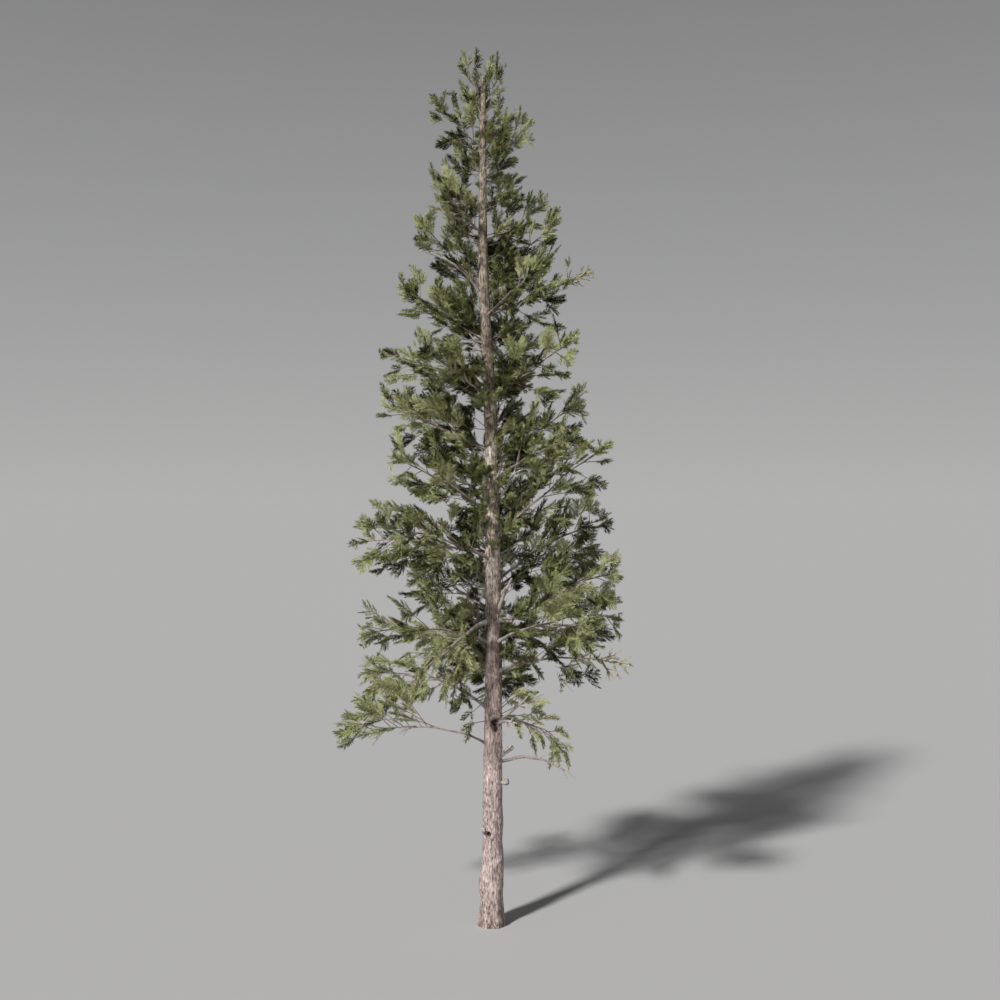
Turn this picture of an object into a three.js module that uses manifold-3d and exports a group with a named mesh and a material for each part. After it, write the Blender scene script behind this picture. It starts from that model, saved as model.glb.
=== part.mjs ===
// A siberian larch grown in the open: a pale, gently bowed trunk with a root flare, limbs that leave it
// singly all round, and the flat sprays of needles that the limbs carry.
// Millimetres, +Z up. The origin is the middle of the flat cut under the trunk, at ground level.
// Seen from the front, +X is to the right and the viewer stands on the -Y side.
import * as THREE from "three";
import { mergeVertices } from "three/addons/utils/BufferGeometryUtils.js";
import Module from "manifold-3d";

const wasm = await Module();
wasm.setup();

// Trunk: a straight taper with a flare at the foot, root lobes, a slow sway and a lean of the upper third.
const TRUNK_HEIGHT = 15560;
const TRUNK_RADIUS = 165;
const TRUNK_TIP_RADIUS = 40;
const TAPER_POWER = 1.75;
const FLARE = 76;
const FLARE_FADE = 1100;
const LOBES = 5;
const LOBE_SHARE = 0.06;
const LOBE_FADE = 650;
const LOBE_TURN = 0.9;
const SWAY = 35;
const SWAY_RUN = 9000;
const LEAN = 125;
const LEAN_FROM = 8500;
const LEAN_TO = 12500;
const DEPTH_SWAY = 40;
const DEPTH_RUN = 7800;
const TRUNK_SIDES = 14;
const TRUNK_ROWS = 17;
const ROW_CROWDING = 1.5;

// Healed stubs and burls on the clear stem. Degrees turn from +X towards +Y, and -90 faces the viewer.
const STUBS = [
  { height: 1760, turn: -130, out: 55, radius: 62, rise: 10 },
  { height: 2640, turn: -15, out: 95, radius: 64, rise: 8 },
  { height: 3170, turn: -10, out: 230, radius: 40, rise: 38 },
  { height: 3640, turn: -78, out: 50, radius: 66, rise: 15 },
];
const STUB_SIDES = 7;
const STUB_TAPER = 0.3;

// Limbs that draw the crown's outline, each as root height, sideways reach and rise from root to tip.
const LEFT_LIMBS = [
  [3250, 2850, 0],
  [3900, 2480, 480],
  [5150, 2300, 280],
  [6760, 2600, 240],
  [7500, 1740, 1050],
  [8650, 2050, 930],
  [9600, 1950, 950],
  [10700, 1580, 1110],
  [11650, 1170, 1150],
  [13050, 900, 740],
  [14250, 880, 700],
  [14950, 380, 1050],
];
const RIGHT_LIMBS = [
  [3800, 1380, -620],
  [4600, 2300, 300],
  [5150, 2390, 410],
  [5350, 2290, 1100],
  [6250, 2180, 1200],
  [7050, 2080, 1720],
  [8450, 1700, 1180],
  [9600, 1500, 1030],
  [11150, 1950, 950],
  [11800, 1370, 1130],
  [12500, 1150, 830],
  [13800, 850, 800],
  [15000, 330, 650],
];
const FAN_LIMB = { root: 5600, reach: 1390, lift: -1000, turn: -50 };
const SIDE_TURNS = [8, 30, -26, 14, -34, 22];

// Limbs that fill the crown towards the back and, either side of the open view of the stem, to the front.
const ROUND_LIMBS = 22;
const ROUND_FROM = 3900;
const ROUND_TO = 14900;
const FRONT_EVERY = 3;
const FRONT_TURN = 42;
const BACK_TURN = 52;
const GOLDEN_SHARE = 0.618;
const HALF_STEP = 0.5;
const CROWN_BASE = 3200;
const CROWN_TOP = 15500;
const LOW_REACH = 2700;
const TOP_REACH = 300;
const REACH_POWER = 1.4;
const LOW_LIFT = 0.05;
const TOP_LIFT = 0.8;

// One limb: an arch that flattens with height, thickest at the trunk, bare for its inner part.
const LOW_ARCH = 0.26;
const TOP_ARCH = -0.12;
const ARCH_POWER = 0.7;
const ARCH_PEAK = 0.5;
const LOW_BARE = 0.36;
const TOP_BARE = 0.06;
const BARE_POWER = 0.45;
const LOW_LIMB_RADIUS = 32;
const TOP_LIMB_RADIUS = 13;
const LIMB_TO_TRUNK = 0.42;
const LIMB_TIP_SHARE = 0.15;
const BOUGH_BELOW = 5200;
const BOUGH_SIDES = 7;
const BOUGH_ROWS = 3;
const STEM_SIDES = 3;
const STEM_ROWS = 4;

// Dead limb low on the right, with the bare twigs it has kept.
const DEAD_LIMB = { root: 2960, reach: 1480, lift: -215, turn: -12, arch: 0.3, peak: 0.62, radius: 36 };
const DEAD_TWIGS = [
  { at: 0.5, length: 170, side: 0.35, up: 1 },
  { at: 0.62, length: 330, side: -0.9, up: 0.4 },
  { at: 0.8, length: 240, side: 0.8, up: -0.3 },
];
const DEAD_TWIG_RADIUS = 12;
const DEAD_TWIG_SIDES = 3;

// Twigs: they leave the stem in a spiral, each narrow at its root and widening into a toothed spray.
// Those of the lowest limb all turn upwards.
const TWIG_SPACING = 110;
const LEAST_TWIGS = 11;
const FIRST_TWIG = 0.4;
const TWIG_SHARE = 0.55;
const TWIG_SHORTENING = 0.65;
const LEAST_TWIG = 540;
const MOST_TWIG = 1050;
const TIP_ROOM = 200;
const TWIG_TURN = 2.4;
const TWIG_WANDER = [-0.4, 0.4];
const RISING_BELOW = 3500;
const TWIG_ANGLE = [0.6, 1.05];
const TWIG_STRETCH = [0.85, 1.2];
const SPRAY_WIDTH = 0.52;
const SPRAY_THICKNESS = 0.08;
const SPRAY_RIDGE = 0.3;
const SPRAY_TILT = [-1.3, 1.3];
const SPRAY_DROOP = 0.06;
const SPRAY_OUTLINE = [[0, 0], [0.2, 0.12], [0.5, 1], [0.57, 0.42], [0.82, 0.7], [1, 0]];
const TIP_SPRAY = 560;
const TIP_SPRAY_SHARE = 0.42;
const TIP_TILT = 0.9;
const STEM_INTO_SPRAY = 0.4;

const CLEAR = 0.3;
const OWN_SPACE = 6;
const TIDY = 0.8;
const FINE_TIDY = 0.02;
const SEED = 41;
const SEED_STEP = 2654435761;

const BARK = { color: 0xa2948c, roughness: 0.9, metalness: 0 };
const DEAD_WOOD = { color: 0xb3a69c, roughness: 0.9, metalness: 0 };
const NEEDLES = { color: 0x66703f, roughness: 0.8, metalness: 0 };

const { lerp, clamp, smoothstep, degToRad } = THREE.MathUtils;
const UP = new THREE.Vector3(0, 0, 1);

// Repeatable chance, one run of it for each limb.
function diceFor(seed) {
  let state = Math.imul(seed, SEED_STEP) >>> 0;
  return (low, high) => {
    state = (Math.imul(state, 1664525) + 1013904223) >>> 0;
    return lerp(low, high, state / 4294967296);
  };
}

function trunkAxis(height) {
  const x = SWAY * Math.sin((Math.PI * height) / SWAY_RUN) - LEAN * smoothstep(height, LEAN_FROM, LEAN_TO);
  const y = DEPTH_SWAY * Math.sin((Math.PI * height) / DEPTH_RUN);
  return new THREE.Vector3(x, y, height);
}

function trunkRadius(height) {
  const taper = (height / TRUNK_HEIGHT) ** TAPER_POWER;
  return lerp(TRUNK_RADIUS, TRUNK_TIP_RADIUS, taper) + FLARE * Math.exp(-height / FLARE_FADE);
}

// Turns a closed three.js shape into a solid, once its vertices have been moved to their places.
function solidFrom(geometry, place) {
  geometry.deleteAttribute("normal");
  geometry.deleteAttribute("uv");
  const welded = mergeVertices(geometry);
  const corners = welded.attributes.position;
  const corner = new THREE.Vector3();
  for (let i = 0; i < corners.count; i++) {
    corner.fromBufferAttribute(corners, i);
    place(corner);
    corners.setXYZ(i, corner.x, corner.y, corner.z);
  }
  const triVerts = Uint32Array.from(welded.index.array);
  return new wasm.Manifold(new wasm.Mesh({ numProp: 3, vertProperties: corners.array, triVerts }));
}

function trunkSolid(grown) {
  return solidFrom(new THREE.CylinderGeometry(1, 1, 1, TRUNK_SIDES, TRUNK_ROWS), (corner) => {
    const height = TRUNK_HEIGHT * (corner.y + 0.5) ** ROW_CROWDING;
    const angle = Math.atan2(-corner.z, corner.x);
    const lobes = 1 + LOBE_SHARE * Math.exp(-height / LOBE_FADE) * Math.cos(LOBES * angle + LOBE_TURN);
    const radius = Math.hypot(corner.x, corner.z) * (trunkRadius(height) * lobes + grown);
    const axis = trunkAxis(height);
    corner.set(axis.x + radius * Math.cos(angle), axis.y + radius * Math.sin(angle), axis.z);
  });
}

// The directions across a line, level and upright, for a line that isn't itself upright.
function across(direction) {
  const side = direction.clone().cross(UP).normalize();
  const rise = side.clone().cross(direction);
  return { side, rise };
}

// A tapering limb along part of a curve.
function limbSolid(curve, from, to, radiusAt, sides, rows) {
  return solidFrom(new THREE.CylinderGeometry(1, 1, 1, sides, rows), (corner) => {
    const at = lerp(from, to, corner.y + 0.5);
    const { side, rise } = across(curve.getTangent(at));
    const radius = radiusAt(at);
    const [sideways, upward] = [corner.x * radius, corner.z * radius];
    corner.copy(curve.getPoint(at)).addScaledVector(side, sideways).addScaledVector(rise, upward);
  });
}

function twigSolid(start, direction, length, radius) {
  const { side, rise } = across(direction);
  return solidFrom(new THREE.ConeGeometry(1, 1, DEAD_TWIG_SIDES, 1), (corner) => {
    const [sideways, along, upward] = [corner.x * radius, (corner.y + 0.5) * length, corner.z * radius];
    corner.copy(start).addScaledVector(direction, along).addScaledVector(side, sideways);
    corner.addScaledVector(rise, upward);
  });
}

// A twig and its spray of needles: narrow at the root, then a toothed blade whose tip droops a little.
function spraySolid({ start, direction, length, tilt }) {
  const face = across(direction).rise.applyAxisAngle(direction, tilt);
  const wide = direction.clone().cross(face);
  const last = SPRAY_OUTLINE.length - 1;
  return solidFrom(new THREE.SphereGeometry(1, 2 * last, 2), (corner) => {
    const rim = Math.abs(corner.y) < 0.5;
    const step = Math.round((Math.atan2(Math.abs(corner.z), -corner.x) / Math.PI) * last);
    const [along, width] = rim ? SPRAY_OUTLINE[step] : [SPRAY_RIDGE, 0];
    const sideways = 0.5 * SPRAY_WIDTH * length * width * Math.sign(corner.z);
    const thick = rim ? 0 : 0.5 * SPRAY_THICKNESS * length * Math.sign(corner.y);
    corner.copy(start).addScaledVector(direction, along * length).addScaledVector(wide, sideways);
    corner.addScaledVector(face, thick - SPRAY_DROOP * length * along ** 2);
  });
}

function bentLine(limb, arch, peak) {
  const start = trunkAxis(limb.root);
  const outward = new THREE.Vector3(Math.cos(limb.azimuth), Math.sin(limb.azimuth), 0);
  const tip = start.clone().addScaledVector(outward, limb.length);
  tip.z += limb.lift;
  const middle = start.clone().lerp(tip, peak);
  middle.z += arch * limb.length;
  return new THREE.QuadraticBezierCurve3(start, middle, tip);
}

function crownShare(root) {
  return clamp((root - CROWN_BASE) / (CROWN_TOP - CROWN_BASE), 0, 1);
}

// A limb of the left or right outline reaches sideways, turned a little to the back or to the front.
function sideLimb(name, root, reach, lift, turn, leftwards) {
  const azimuth = degToRad(leftwards ? 180 - turn : turn);
  return { name, root, azimuth, length: reach / Math.cos(degToRad(turn)), lift };
}

function roundLimb(index) {
  const root = lerp(ROUND_FROM, ROUND_TO, (index + HALF_STEP) / ROUND_LIMBS);
  const share = crownShare(root);
  const length = TOP_REACH + (LOW_REACH - TOP_REACH) * (1 - share ** REACH_POWER);
  const group = Math.floor(index / FRONT_EVERY);
  const way = index % 2 ? 1 : -1;
  const front = index % FRONT_EVERY === FRONT_EVERY - 1;
  const spread = BACK_TURN * (((group + (index % FRONT_EVERY) * HALF_STEP) * GOLDEN_SHARE) % 1);
  const azimuth = degToRad(front ? -90 + FRONT_TURN * (group % 2 ? -1 : 1) : 90 + way * spread);
  const lift = length * lerp(LOW_LIFT, TOP_LIFT, share);
  return { name: `${front ? "front" : "back"}_${index + 1}`, root, azimuth, length, lift };
}

function allLimbs() {
  const turnOf = (i) => SIDE_TURNS[i % SIDE_TURNS.length];
  const left = LEFT_LIMBS.map(([root, reach, lift], i) =>
    sideLimb(`left_${i + 1}`, root, reach, lift, turnOf(i), true));
  const right = RIGHT_LIMBS.map(([root, reach, lift], i) =>
    sideLimb(`right_${i + 1}`, root, reach, lift, turnOf(i + 3), false));
  const fan = sideLimb("fan", FAN_LIMB.root, FAN_LIMB.reach, FAN_LIMB.lift, FAN_LIMB.turn, true);
  const round = Array.from({ length: ROUND_LIMBS }, (_, i) => roundLimb(i));
  return [...left, ...right, fan, ...round].map((limb, i) => {
    const share = crownShare(limb.root);
    const radius = lerp(LOW_LIMB_RADIUS, TOP_LIMB_RADIUS, share);
    return {
      ...limb,
      seed: SEED + i,
      curve: bentLine(limb, lerp(LOW_ARCH, TOP_ARCH, share ** ARCH_POWER), ARCH_PEAK),
      bare: lerp(LOW_BARE, TOP_BARE, share ** BARE_POWER),
      radius: Math.min(radius, LIMB_TO_TRUNK * trunkRadius(limb.root)),
    };
  });
}

// Twigs of one limb by the seeded rule: places along the stem, directions that turn round it and lengths that
// fall towards its tip.
function twigsOf(limb) {
  const dice = diceFor(limb.seed);
  const rising = limb.root < RISING_BELOW && limb.lift >= 0;
  const run = limb.length * (1 - limb.bare);
  const count = Math.max(LEAST_TWIGS, Math.round(run / TWIG_SPACING));
  const twigs = [];
  for (let k = 0; k < count; k++) {
    const at = lerp(limb.bare, 1, (k + FIRST_TWIG) / count);
    const along = limb.curve.getTangent(at);
    const { side, rise } = across(along);
    const angle = dice(...TWIG_ANGLE);
    const turn = k * TWIG_TURN + dice(...TWIG_WANDER);
    const stretch = dice(...TWIG_STRETCH);
    const tilt = dice(...SPRAY_TILT);
    const upward = rising ? Math.abs(Math.sin(turn)) : Math.sin(turn);
    const outward = side.multiplyScalar(Math.cos(turn)).addScaledVector(rise, upward);
    const direction = along.multiplyScalar(Math.cos(angle)).addScaledVector(outward, Math.sin(angle));
    const room = limb.length * (1 - at) + TIP_ROOM;
    const length = clamp(limb.length * TWIG_SHARE * (1 - TWIG_SHORTENING * at), LEAST_TWIG, MOST_TWIG);
    twigs.push({
      start: limb.curve.getPoint(at),
      direction: direction.normalize(),
      length: Math.min(length * stretch, room),
      tilt,
    });
  }
  return twigs;
}

// The spray that a stem runs out into, from its start on the limb's line to the tip.
function tipSpray(limb) {
  const start = limb.curve.getPoint(limb.sprayFrom);
  const direction = limb.curve.getPoint(1).sub(start);
  const length = direction.length();
  return { start, direction: direction.normalize(), length, tilt: TIP_TILT };
}

// Joins a piece on, unless that would leave a loose scrap or seal a hollow.
function fused(solid, piece) {
  const joined = solid.add(piece);
  return joined.decompose().length === 1 ? joined : solid;
}

function boxOf(solid) {
  const { min, max } = solid.boundingBox();
  return new THREE.Box3(new THREE.Vector3(...min), new THREE.Vector3(...max));
}

function isClear(piece, others) {
  const box = boxOf(piece).expandByScalar(OWN_SPACE);
  const near = others.filter((other) => box.intersectsBox(boxOf(other)));
  return near.every((other) => piece.minGap(other, OWN_SPACE) >= OWN_SPACE);
}

const tree = new THREE.Group();
tree.name = "siberian_larch";

function addNode(name, solid, look) {
  const { vertProperties, triVerts, numProp } = solid.simplify(FINE_TIDY).getMesh();
  const geometry = new THREE.BufferGeometry();
  const places = new THREE.InterleavedBuffer(vertProperties, numProp);
  geometry.setAttribute("position", new THREE.InterleavedBufferAttribute(places, 3, 0));
  geometry.setIndex(new THREE.BufferAttribute(triVerts, 1));
  const mesh = new THREE.Mesh(geometry, new THREE.MeshStandardMaterial(look));
  mesh.name = name;
  tree.add(mesh);
}

// Trunk with its healed stubs.
let trunk = trunkSolid(0);
for (const stub of STUBS) {
  const azimuth = degToRad(stub.turn);
  const rise = degToRad(stub.rise);
  const outward = new THREE.Vector3(Math.cos(azimuth), Math.sin(azimuth), Math.tan(rise)).normalize();
  const start = trunkAxis(stub.height);
  const end = start.clone().addScaledVector(outward, trunkRadius(stub.height) + stub.out);
  const line = new THREE.LineCurve3(start, end);
  trunk = fused(trunk, limbSolid(line, 0, 1, (at) => stub.radius * (1 - STUB_TAPER * at), STUB_SIDES, 1));
}
const aroundTrunk = trunkSolid(CLEAR);
addNode("trunk", trunk, BARK);

// Dead limb.
const deadLimb = sideLimb("dead", DEAD_LIMB.root, DEAD_LIMB.reach, DEAD_LIMB.lift, DEAD_LIMB.turn, false);
const deadLine = bentLine(deadLimb, DEAD_LIMB.arch, DEAD_LIMB.peak);
const deadRadius = (at) => DEAD_LIMB.radius * lerp(1, LIMB_TIP_SHARE, at);
let dead = limbSolid(deadLine, 0, 1, deadRadius, BOUGH_SIDES, BOUGH_ROWS).subtract(aroundTrunk);
for (const twig of DEAD_TWIGS) {
  const along = deadLine.getTangent(twig.at);
  const { side, rise } = across(along);
  const direction = along.addScaledVector(side, twig.side).addScaledVector(rise, twig.up).normalize();
  dead = fused(dead, twigSolid(deadLine.getPoint(twig.at), direction, twig.length, DEAD_TWIG_RADIUS));
}
addNode("dead_limb", dead, DEAD_WOOD);

// Boughs: the bare inner part of the long low limbs and of the hanging fan, ending where foliage begins.
const limbs = allLimbs();
const wood = [trunk, dead];
for (const limb of limbs) {
  limb.radiusAt = (at) => limb.radius * lerp(1, LIMB_TIP_SHARE, at);
  limb.stemFrom = 0;
  if (limb.root < BOUGH_BELOW || limb.name === "fan") {
    const whole = limbSolid(limb.curve, 0, limb.bare, limb.radiusAt, BOUGH_SIDES, BOUGH_ROWS);
    const bough = whole.subtract(aroundTrunk);
    limb.stemFrom = limb.bare + CLEAR / limb.curve.getLength();
    wood.push(bough);
    addNode(`bough_${limb.name}`, bough, BARK);
  }
}

// Masses of foliage: a stem that carries the limb on, with the twigs and sprays that keep to their own space.
for (const limb of limbs) {
  limb.sprayFrom = 1 - Math.min(TIP_SPRAY / limb.length, TIP_SPRAY_SHARE);
  const stemTo = lerp(limb.sprayFrom, 1, STEM_INTO_SPRAY);
  limb.solid = limbSolid(limb.curve, limb.stemFrom, stemTo, limb.radiusAt, STEM_SIDES, STEM_ROWS);
}
for (const limb of limbs) {
  const neighbours = [...wood, ...limbs.filter((other) => other !== limb).map((other) => other.solid)];
  const ownSprays = [];
  for (const twig of [tipSpray(limb), ...twigsOf(limb)]) {
    const spray = spraySolid(twig);
    if (isClear(spray, [...neighbours, ...ownSprays])) {
      limb.solid = fused(limb.solid, spray);
      ownSprays.push(spray);
    }
  }
  limb.solid = limb.solid.simplify(TIDY).subtract(aroundTrunk);
  addNode(`foliage_${limb.name}`, limb.solid, NEEDLES);
}

export default tree;
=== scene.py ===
import math
from types import SimpleNamespace

import bpy
import numpy as np
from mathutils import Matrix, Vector


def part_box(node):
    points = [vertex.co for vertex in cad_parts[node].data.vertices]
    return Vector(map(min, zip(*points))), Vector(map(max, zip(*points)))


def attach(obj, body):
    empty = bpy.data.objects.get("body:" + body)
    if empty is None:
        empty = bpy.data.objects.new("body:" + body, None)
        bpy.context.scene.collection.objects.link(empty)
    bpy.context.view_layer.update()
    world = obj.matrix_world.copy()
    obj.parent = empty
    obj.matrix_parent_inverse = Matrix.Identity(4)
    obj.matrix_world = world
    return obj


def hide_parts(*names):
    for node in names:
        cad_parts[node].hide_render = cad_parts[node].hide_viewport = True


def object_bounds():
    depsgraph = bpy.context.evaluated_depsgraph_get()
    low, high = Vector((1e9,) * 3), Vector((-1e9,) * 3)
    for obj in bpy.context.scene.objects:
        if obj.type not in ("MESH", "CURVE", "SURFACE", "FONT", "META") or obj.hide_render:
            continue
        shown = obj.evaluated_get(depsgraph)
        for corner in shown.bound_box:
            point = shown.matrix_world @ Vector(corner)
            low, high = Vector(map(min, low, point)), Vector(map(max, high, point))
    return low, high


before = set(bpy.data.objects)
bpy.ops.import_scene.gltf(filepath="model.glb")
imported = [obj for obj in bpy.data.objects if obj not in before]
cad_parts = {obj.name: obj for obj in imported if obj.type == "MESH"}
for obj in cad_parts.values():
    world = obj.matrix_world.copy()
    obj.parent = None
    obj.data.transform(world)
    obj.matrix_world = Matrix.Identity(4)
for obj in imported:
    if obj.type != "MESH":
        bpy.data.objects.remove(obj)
cad_low, cad_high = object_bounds()
bpy.ops.object.select_all(action="DESELECT")

# The studio: a plain pale floor, one soft light high to the left of the viewer, and a grey surround that
# meets the floor in its own tone. The camera stands level at half the tree's height, at the photograph's
# distance.
FLOOR_WIDTH = 4000
FLOOR_COLOUR = (0.551, 0.546, 0.54)
SURROUND_STOPS = [
    (0.0, (0.443, 0.44, 0.437)),
    (0.12, (0.355, 0.355, 0.355)),
    (0.36, (0.22, 0.22, 0.225)),
    (0.5, (0.1, 0.1, 0.105)),
]
KEY_STRENGTH = 3.6
KEY_SOFTNESS = math.radians(6)
KEY_TURN = math.radians(-34)
KEY_HEIGHT = math.radians(36)
CAMERA_PLACE = (0.1545, -25.45, 7.79)
CAMERA_LENS = 50
LEVEL = math.pi / 2


def adjust(thing, settings):
    for name, value in settings.items():
        setattr(thing, name, value)
    return thing


def set_input(tree, node, name, value):
    """Gives a node's input a plain value, or links it to another node's output."""
    if isinstance(value, bpy.types.NodeSocket):
        tree.links.new(value, node.inputs[name])
    else:
        node.inputs[name].default_value = value


def add_node(tree, kind, settings=None, **inputs):
    made = adjust(tree.nodes.new(kind), settings or {})
    for name, value in inputs.items():
        set_input(tree, made, name.replace("_", " "), value)
    return made


def add_ramp(tree, stops, share):
    ramp = add_node(tree, "ShaderNodeValToRGB", Fac=share)
    band = ramp.color_ramp
    while len(band.elements) < len(stops):
        band.elements.new(0.5)
    for element, (place, colour) in zip(band.elements, stops):
        element.position = place
        element.color = (*colour, 1)
    return ramp.outputs["Color"]


def new_finish(name, gloss):
    made = bpy.data.materials.new(name)
    made.use_nodes = True
    surface = made.node_tree.nodes["Principled BSDF"]
    surface.inputs["Specular IOR Level"].default_value = gloss
    return made, made.node_tree, surface


def plain_finish(name, colour, roughness, gloss):
    made, _, surface = new_finish(name, gloss)
    surface.inputs["Base Color"].default_value = (*colour, 1)
    surface.inputs["Roughness"].default_value = roughness
    return made


bpy.ops.mesh.primitive_plane_add(size=FLOOR_WIDTH)
floor = bpy.context.object
floor.name = "floor"
floor.data.materials.append(plain_finish("pale_floor", FLOOR_COLOUR, roughness=1, gloss=0))

bpy.ops.object.light_add(type="SUN", rotation=(LEVEL - KEY_HEIGHT, 0, KEY_TURN))
adjust(bpy.context.object.data, {"energy": KEY_STRENGTH, "angle": KEY_SOFTNESS})

surround = bpy.data.worlds.new("surround")
surround.use_nodes = True
sky = surround.node_tree
gaze = add_node(sky, "ShaderNodeTexCoord").outputs["Generated"]
upward_gaze = add_node(sky, "ShaderNodeSeparateXYZ", Vector=gaze).outputs["Z"]
set_input(sky, sky.nodes["Background"], "Color", add_ramp(sky, SURROUND_STOPS, upward_gaze))
bpy.context.scene.world = surround

bpy.ops.object.camera_add(location=CAMERA_PLACE, rotation=(LEVEL, 0, 0))
camera = bpy.context.object
adjust(camera.data, {"lens": CAMERA_LENS, "clip_end": FLOOR_WIDTH})
bpy.context.scene.camera = camera
bpy.context.scene.view_settings.view_transform = "Standard"

# The trunk: one stem from the flat cut at the ground to its tip, in pale bark of small upright plates parted
# by fissures. It is drawn up ring by ring along its bowed line, then root lobes, humps and knot holes are
# pulled out of it or into it, and the bark's plates and flakes are pressed into its surface.
TRUNK_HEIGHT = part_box("trunk")[1].z
TRUNK_RADIUS = 0.165
TRUNK_TIP_RADIUS = 0.04
TAPER_POWER = 1.75
FLARE = 0.076
FLARE_FADE = 1.1
SWAY = 0.035
SWAY_RUN = 9
LEAN = 0.125
LEAN_FROM = 8.5
LEAN_TO = 12.5
DEPTH_SWAY = 0.04
DEPTH_RUN = 7.8
TRUNK_SIDES = 25
TRUNK_ROWS = 205
ROW_CROWDING = 1.25
SMOOTHING = 2
LOBES = 7
LOBE_TURN = 36
LOBE_OUT = 0.034
LOBE_SPREAD = 0.2
GROOVE_IN = -0.05
GROOVE_SPREAD = 0.14
# Humps and dips: height, turn, how far out, and how wide.
HUMPS = [
    (0.78, 186, 0.034, 0.26),
    (0.44, 192, -0.026, 0.2),
    (0.5, -20, -0.02, 0.25),
    (1.22, -22, 0.016, 0.3),
    (1.9, 8, 0.018, 0.36),
    (1.3, 196, -0.012, 0.3),
    (2.3, 188, 0.012, 0.35),
    (3.05, 172, 0.012, 0.22),
]
HUMP_GRIP = 0.06
# Knot holes: height, turn, radius and depth.
HOLLOWS = [(1.69, -120, 0.062, 0.09), (3.71, -72, 0.09, 0.12), (3.6, -70, 0.052, 0.08)]
HOLLOW_LIP = 0.022
HOLLOW_GRIP = 0.4
LIP_SPREAD = 2.4
# The black-brown of the knot holes, as rotten wood and as painted shade inside them: how the darkening fades
# to the rim, how far it runs, and its depth in the kept relief.
ROT_AND_SHADE_EDGE = (0.55, 0.95)
ROT_AND_SHADE_RUN = 4
ROT_AND_SHADE_DEPTH = 0.03
# Painted shade in the grooves between the root lobes: how far it lowers the kept relief, how wide it is, and
# how it fades out upwards.
FURROW_SHADE = 0.011
FURROW_EDGE = (0.02, 0.8 * GROOVE_SPREAD)
FURROW_FADE = (0.1, 0.7)
THIN_BARK = 0.35
SWELLINGS = {"noise_scale": 0.45}
SWELLING_DEPTH = 0.032
SWELLING_STRETCH = 2
PLATES = {"noise_scale": 0.036, "weight_1": -1, "weight_2": 1, "noise_intensity": 1.6}
PLATE_DEPTH = 0.018
PLATE_STRETCH = 4
FLAKES = {"noise_scale": 0.014, "noise_depth": 3}
FLAKE_DEPTH = 0.014
FLAKE_STRETCH = 3.5
BARK_GLOSS = 0.2
DRIEST = 0.95
FINE_GRAIN = 0.5
BARK_BY_DEPTH = [
    (0.05, (0.1, 0.07, 0.061)),
    (0.27, (0.33, 0.254, 0.233)),
    (0.47, (0.54, 0.443, 0.415)),
    (0.7, (0.72, 0.617, 0.585)),
    (0.94, (0.96, 0.87, 0.835)),
]
# Mottled patches of the bark. They are stronger from low on the stem up into the crown, where they also paint
# the dappled shade of the foliage.
BARK_MOTTLE_AND_DAPPLED_SHADE = [
    (0.4, (0.36, 0.33, 0.3)),
    (0.48, (0.72, 0.7, 0.68)),
    (0.54, (1.02, 1.0, 0.98)),
    (0.66, (1.25, 1.21, 1.17)),
]
# Tone of the stem by height, partly the bark's own colour and partly painted light and shade. The bark greys
# and browns upwards, with painted shade of the crown on the upper stem. There is a painted shadow band just
# below the fan limb's foot, at about a third of the height, and a darker band at about two thirds. Painted
# light brightens the stem inside the crown where the foliage shades it.
BARK_TONE_LIGHT_AND_SHADE_BY_HEIGHT = [
    (0.0, (1.05, 1.04, 1.03)),
    (0.165, (1.0, 0.99, 0.99)),
    (0.22, (1.35, 1.33, 1.32)),
    (0.27, (1.04, 1.02, 1.0)),
    (0.33, (0.34, 0.325, 0.32)),
    (0.365, (1.2, 1.22, 1.18)),
    (0.385, (1.12, 1.17, 1.11)),
    (0.44, (1.2, 1.27, 1.18)),
    (0.6, (1.25, 1.32, 1.2)),
    (0.66, (0.5, 0.49, 0.44)),
    (0.74, (0.8, 0.83, 0.7)),
    (1.0, (0.66, 0.69, 0.57)),
]


def between(low, high, share):
    return low + (high - low) * share


def eased(value, low, high):
    share = np.clip((value - low) / (high - low), 0, 1)
    return share * share * (3 - 2 * share)


def trunk_axis(height):
    x = SWAY * np.sin(np.pi * height / SWAY_RUN) - LEAN * eased(height, LEAN_FROM, LEAN_TO)
    y = DEPTH_SWAY * np.sin(np.pi * height / DEPTH_RUN)
    return np.stack([x, y, height + 0 * x], axis=-1)


def trunk_radius(height):
    taper = np.clip(height / TRUNK_HEIGHT, 0, 1) ** TAPER_POWER
    return between(TRUNK_RADIUS, TRUNK_TIP_RADIUS, taper) + FLARE * np.exp(-height / FLARE_FADE)


def outward_from_trunk(turn, rise=0):
    flat = math.cos(math.radians(rise))
    turn = math.radians(turn)
    return np.array([flat * math.cos(turn), flat * math.sin(turn), math.sin(math.radians(rise))])


def in_trunk(height, turn, share=1):
    """A point of the stem, on its surface or at a share of the way out to it."""
    return trunk_axis(height) + share * trunk_radius(height) * outward_from_trunk(turn)


def points_of(mesh):
    points = np.empty(len(mesh.vertices) * 3, np.float32)
    mesh.vertices.foreach_get("co", points)
    return points.reshape(-1, 3)


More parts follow.
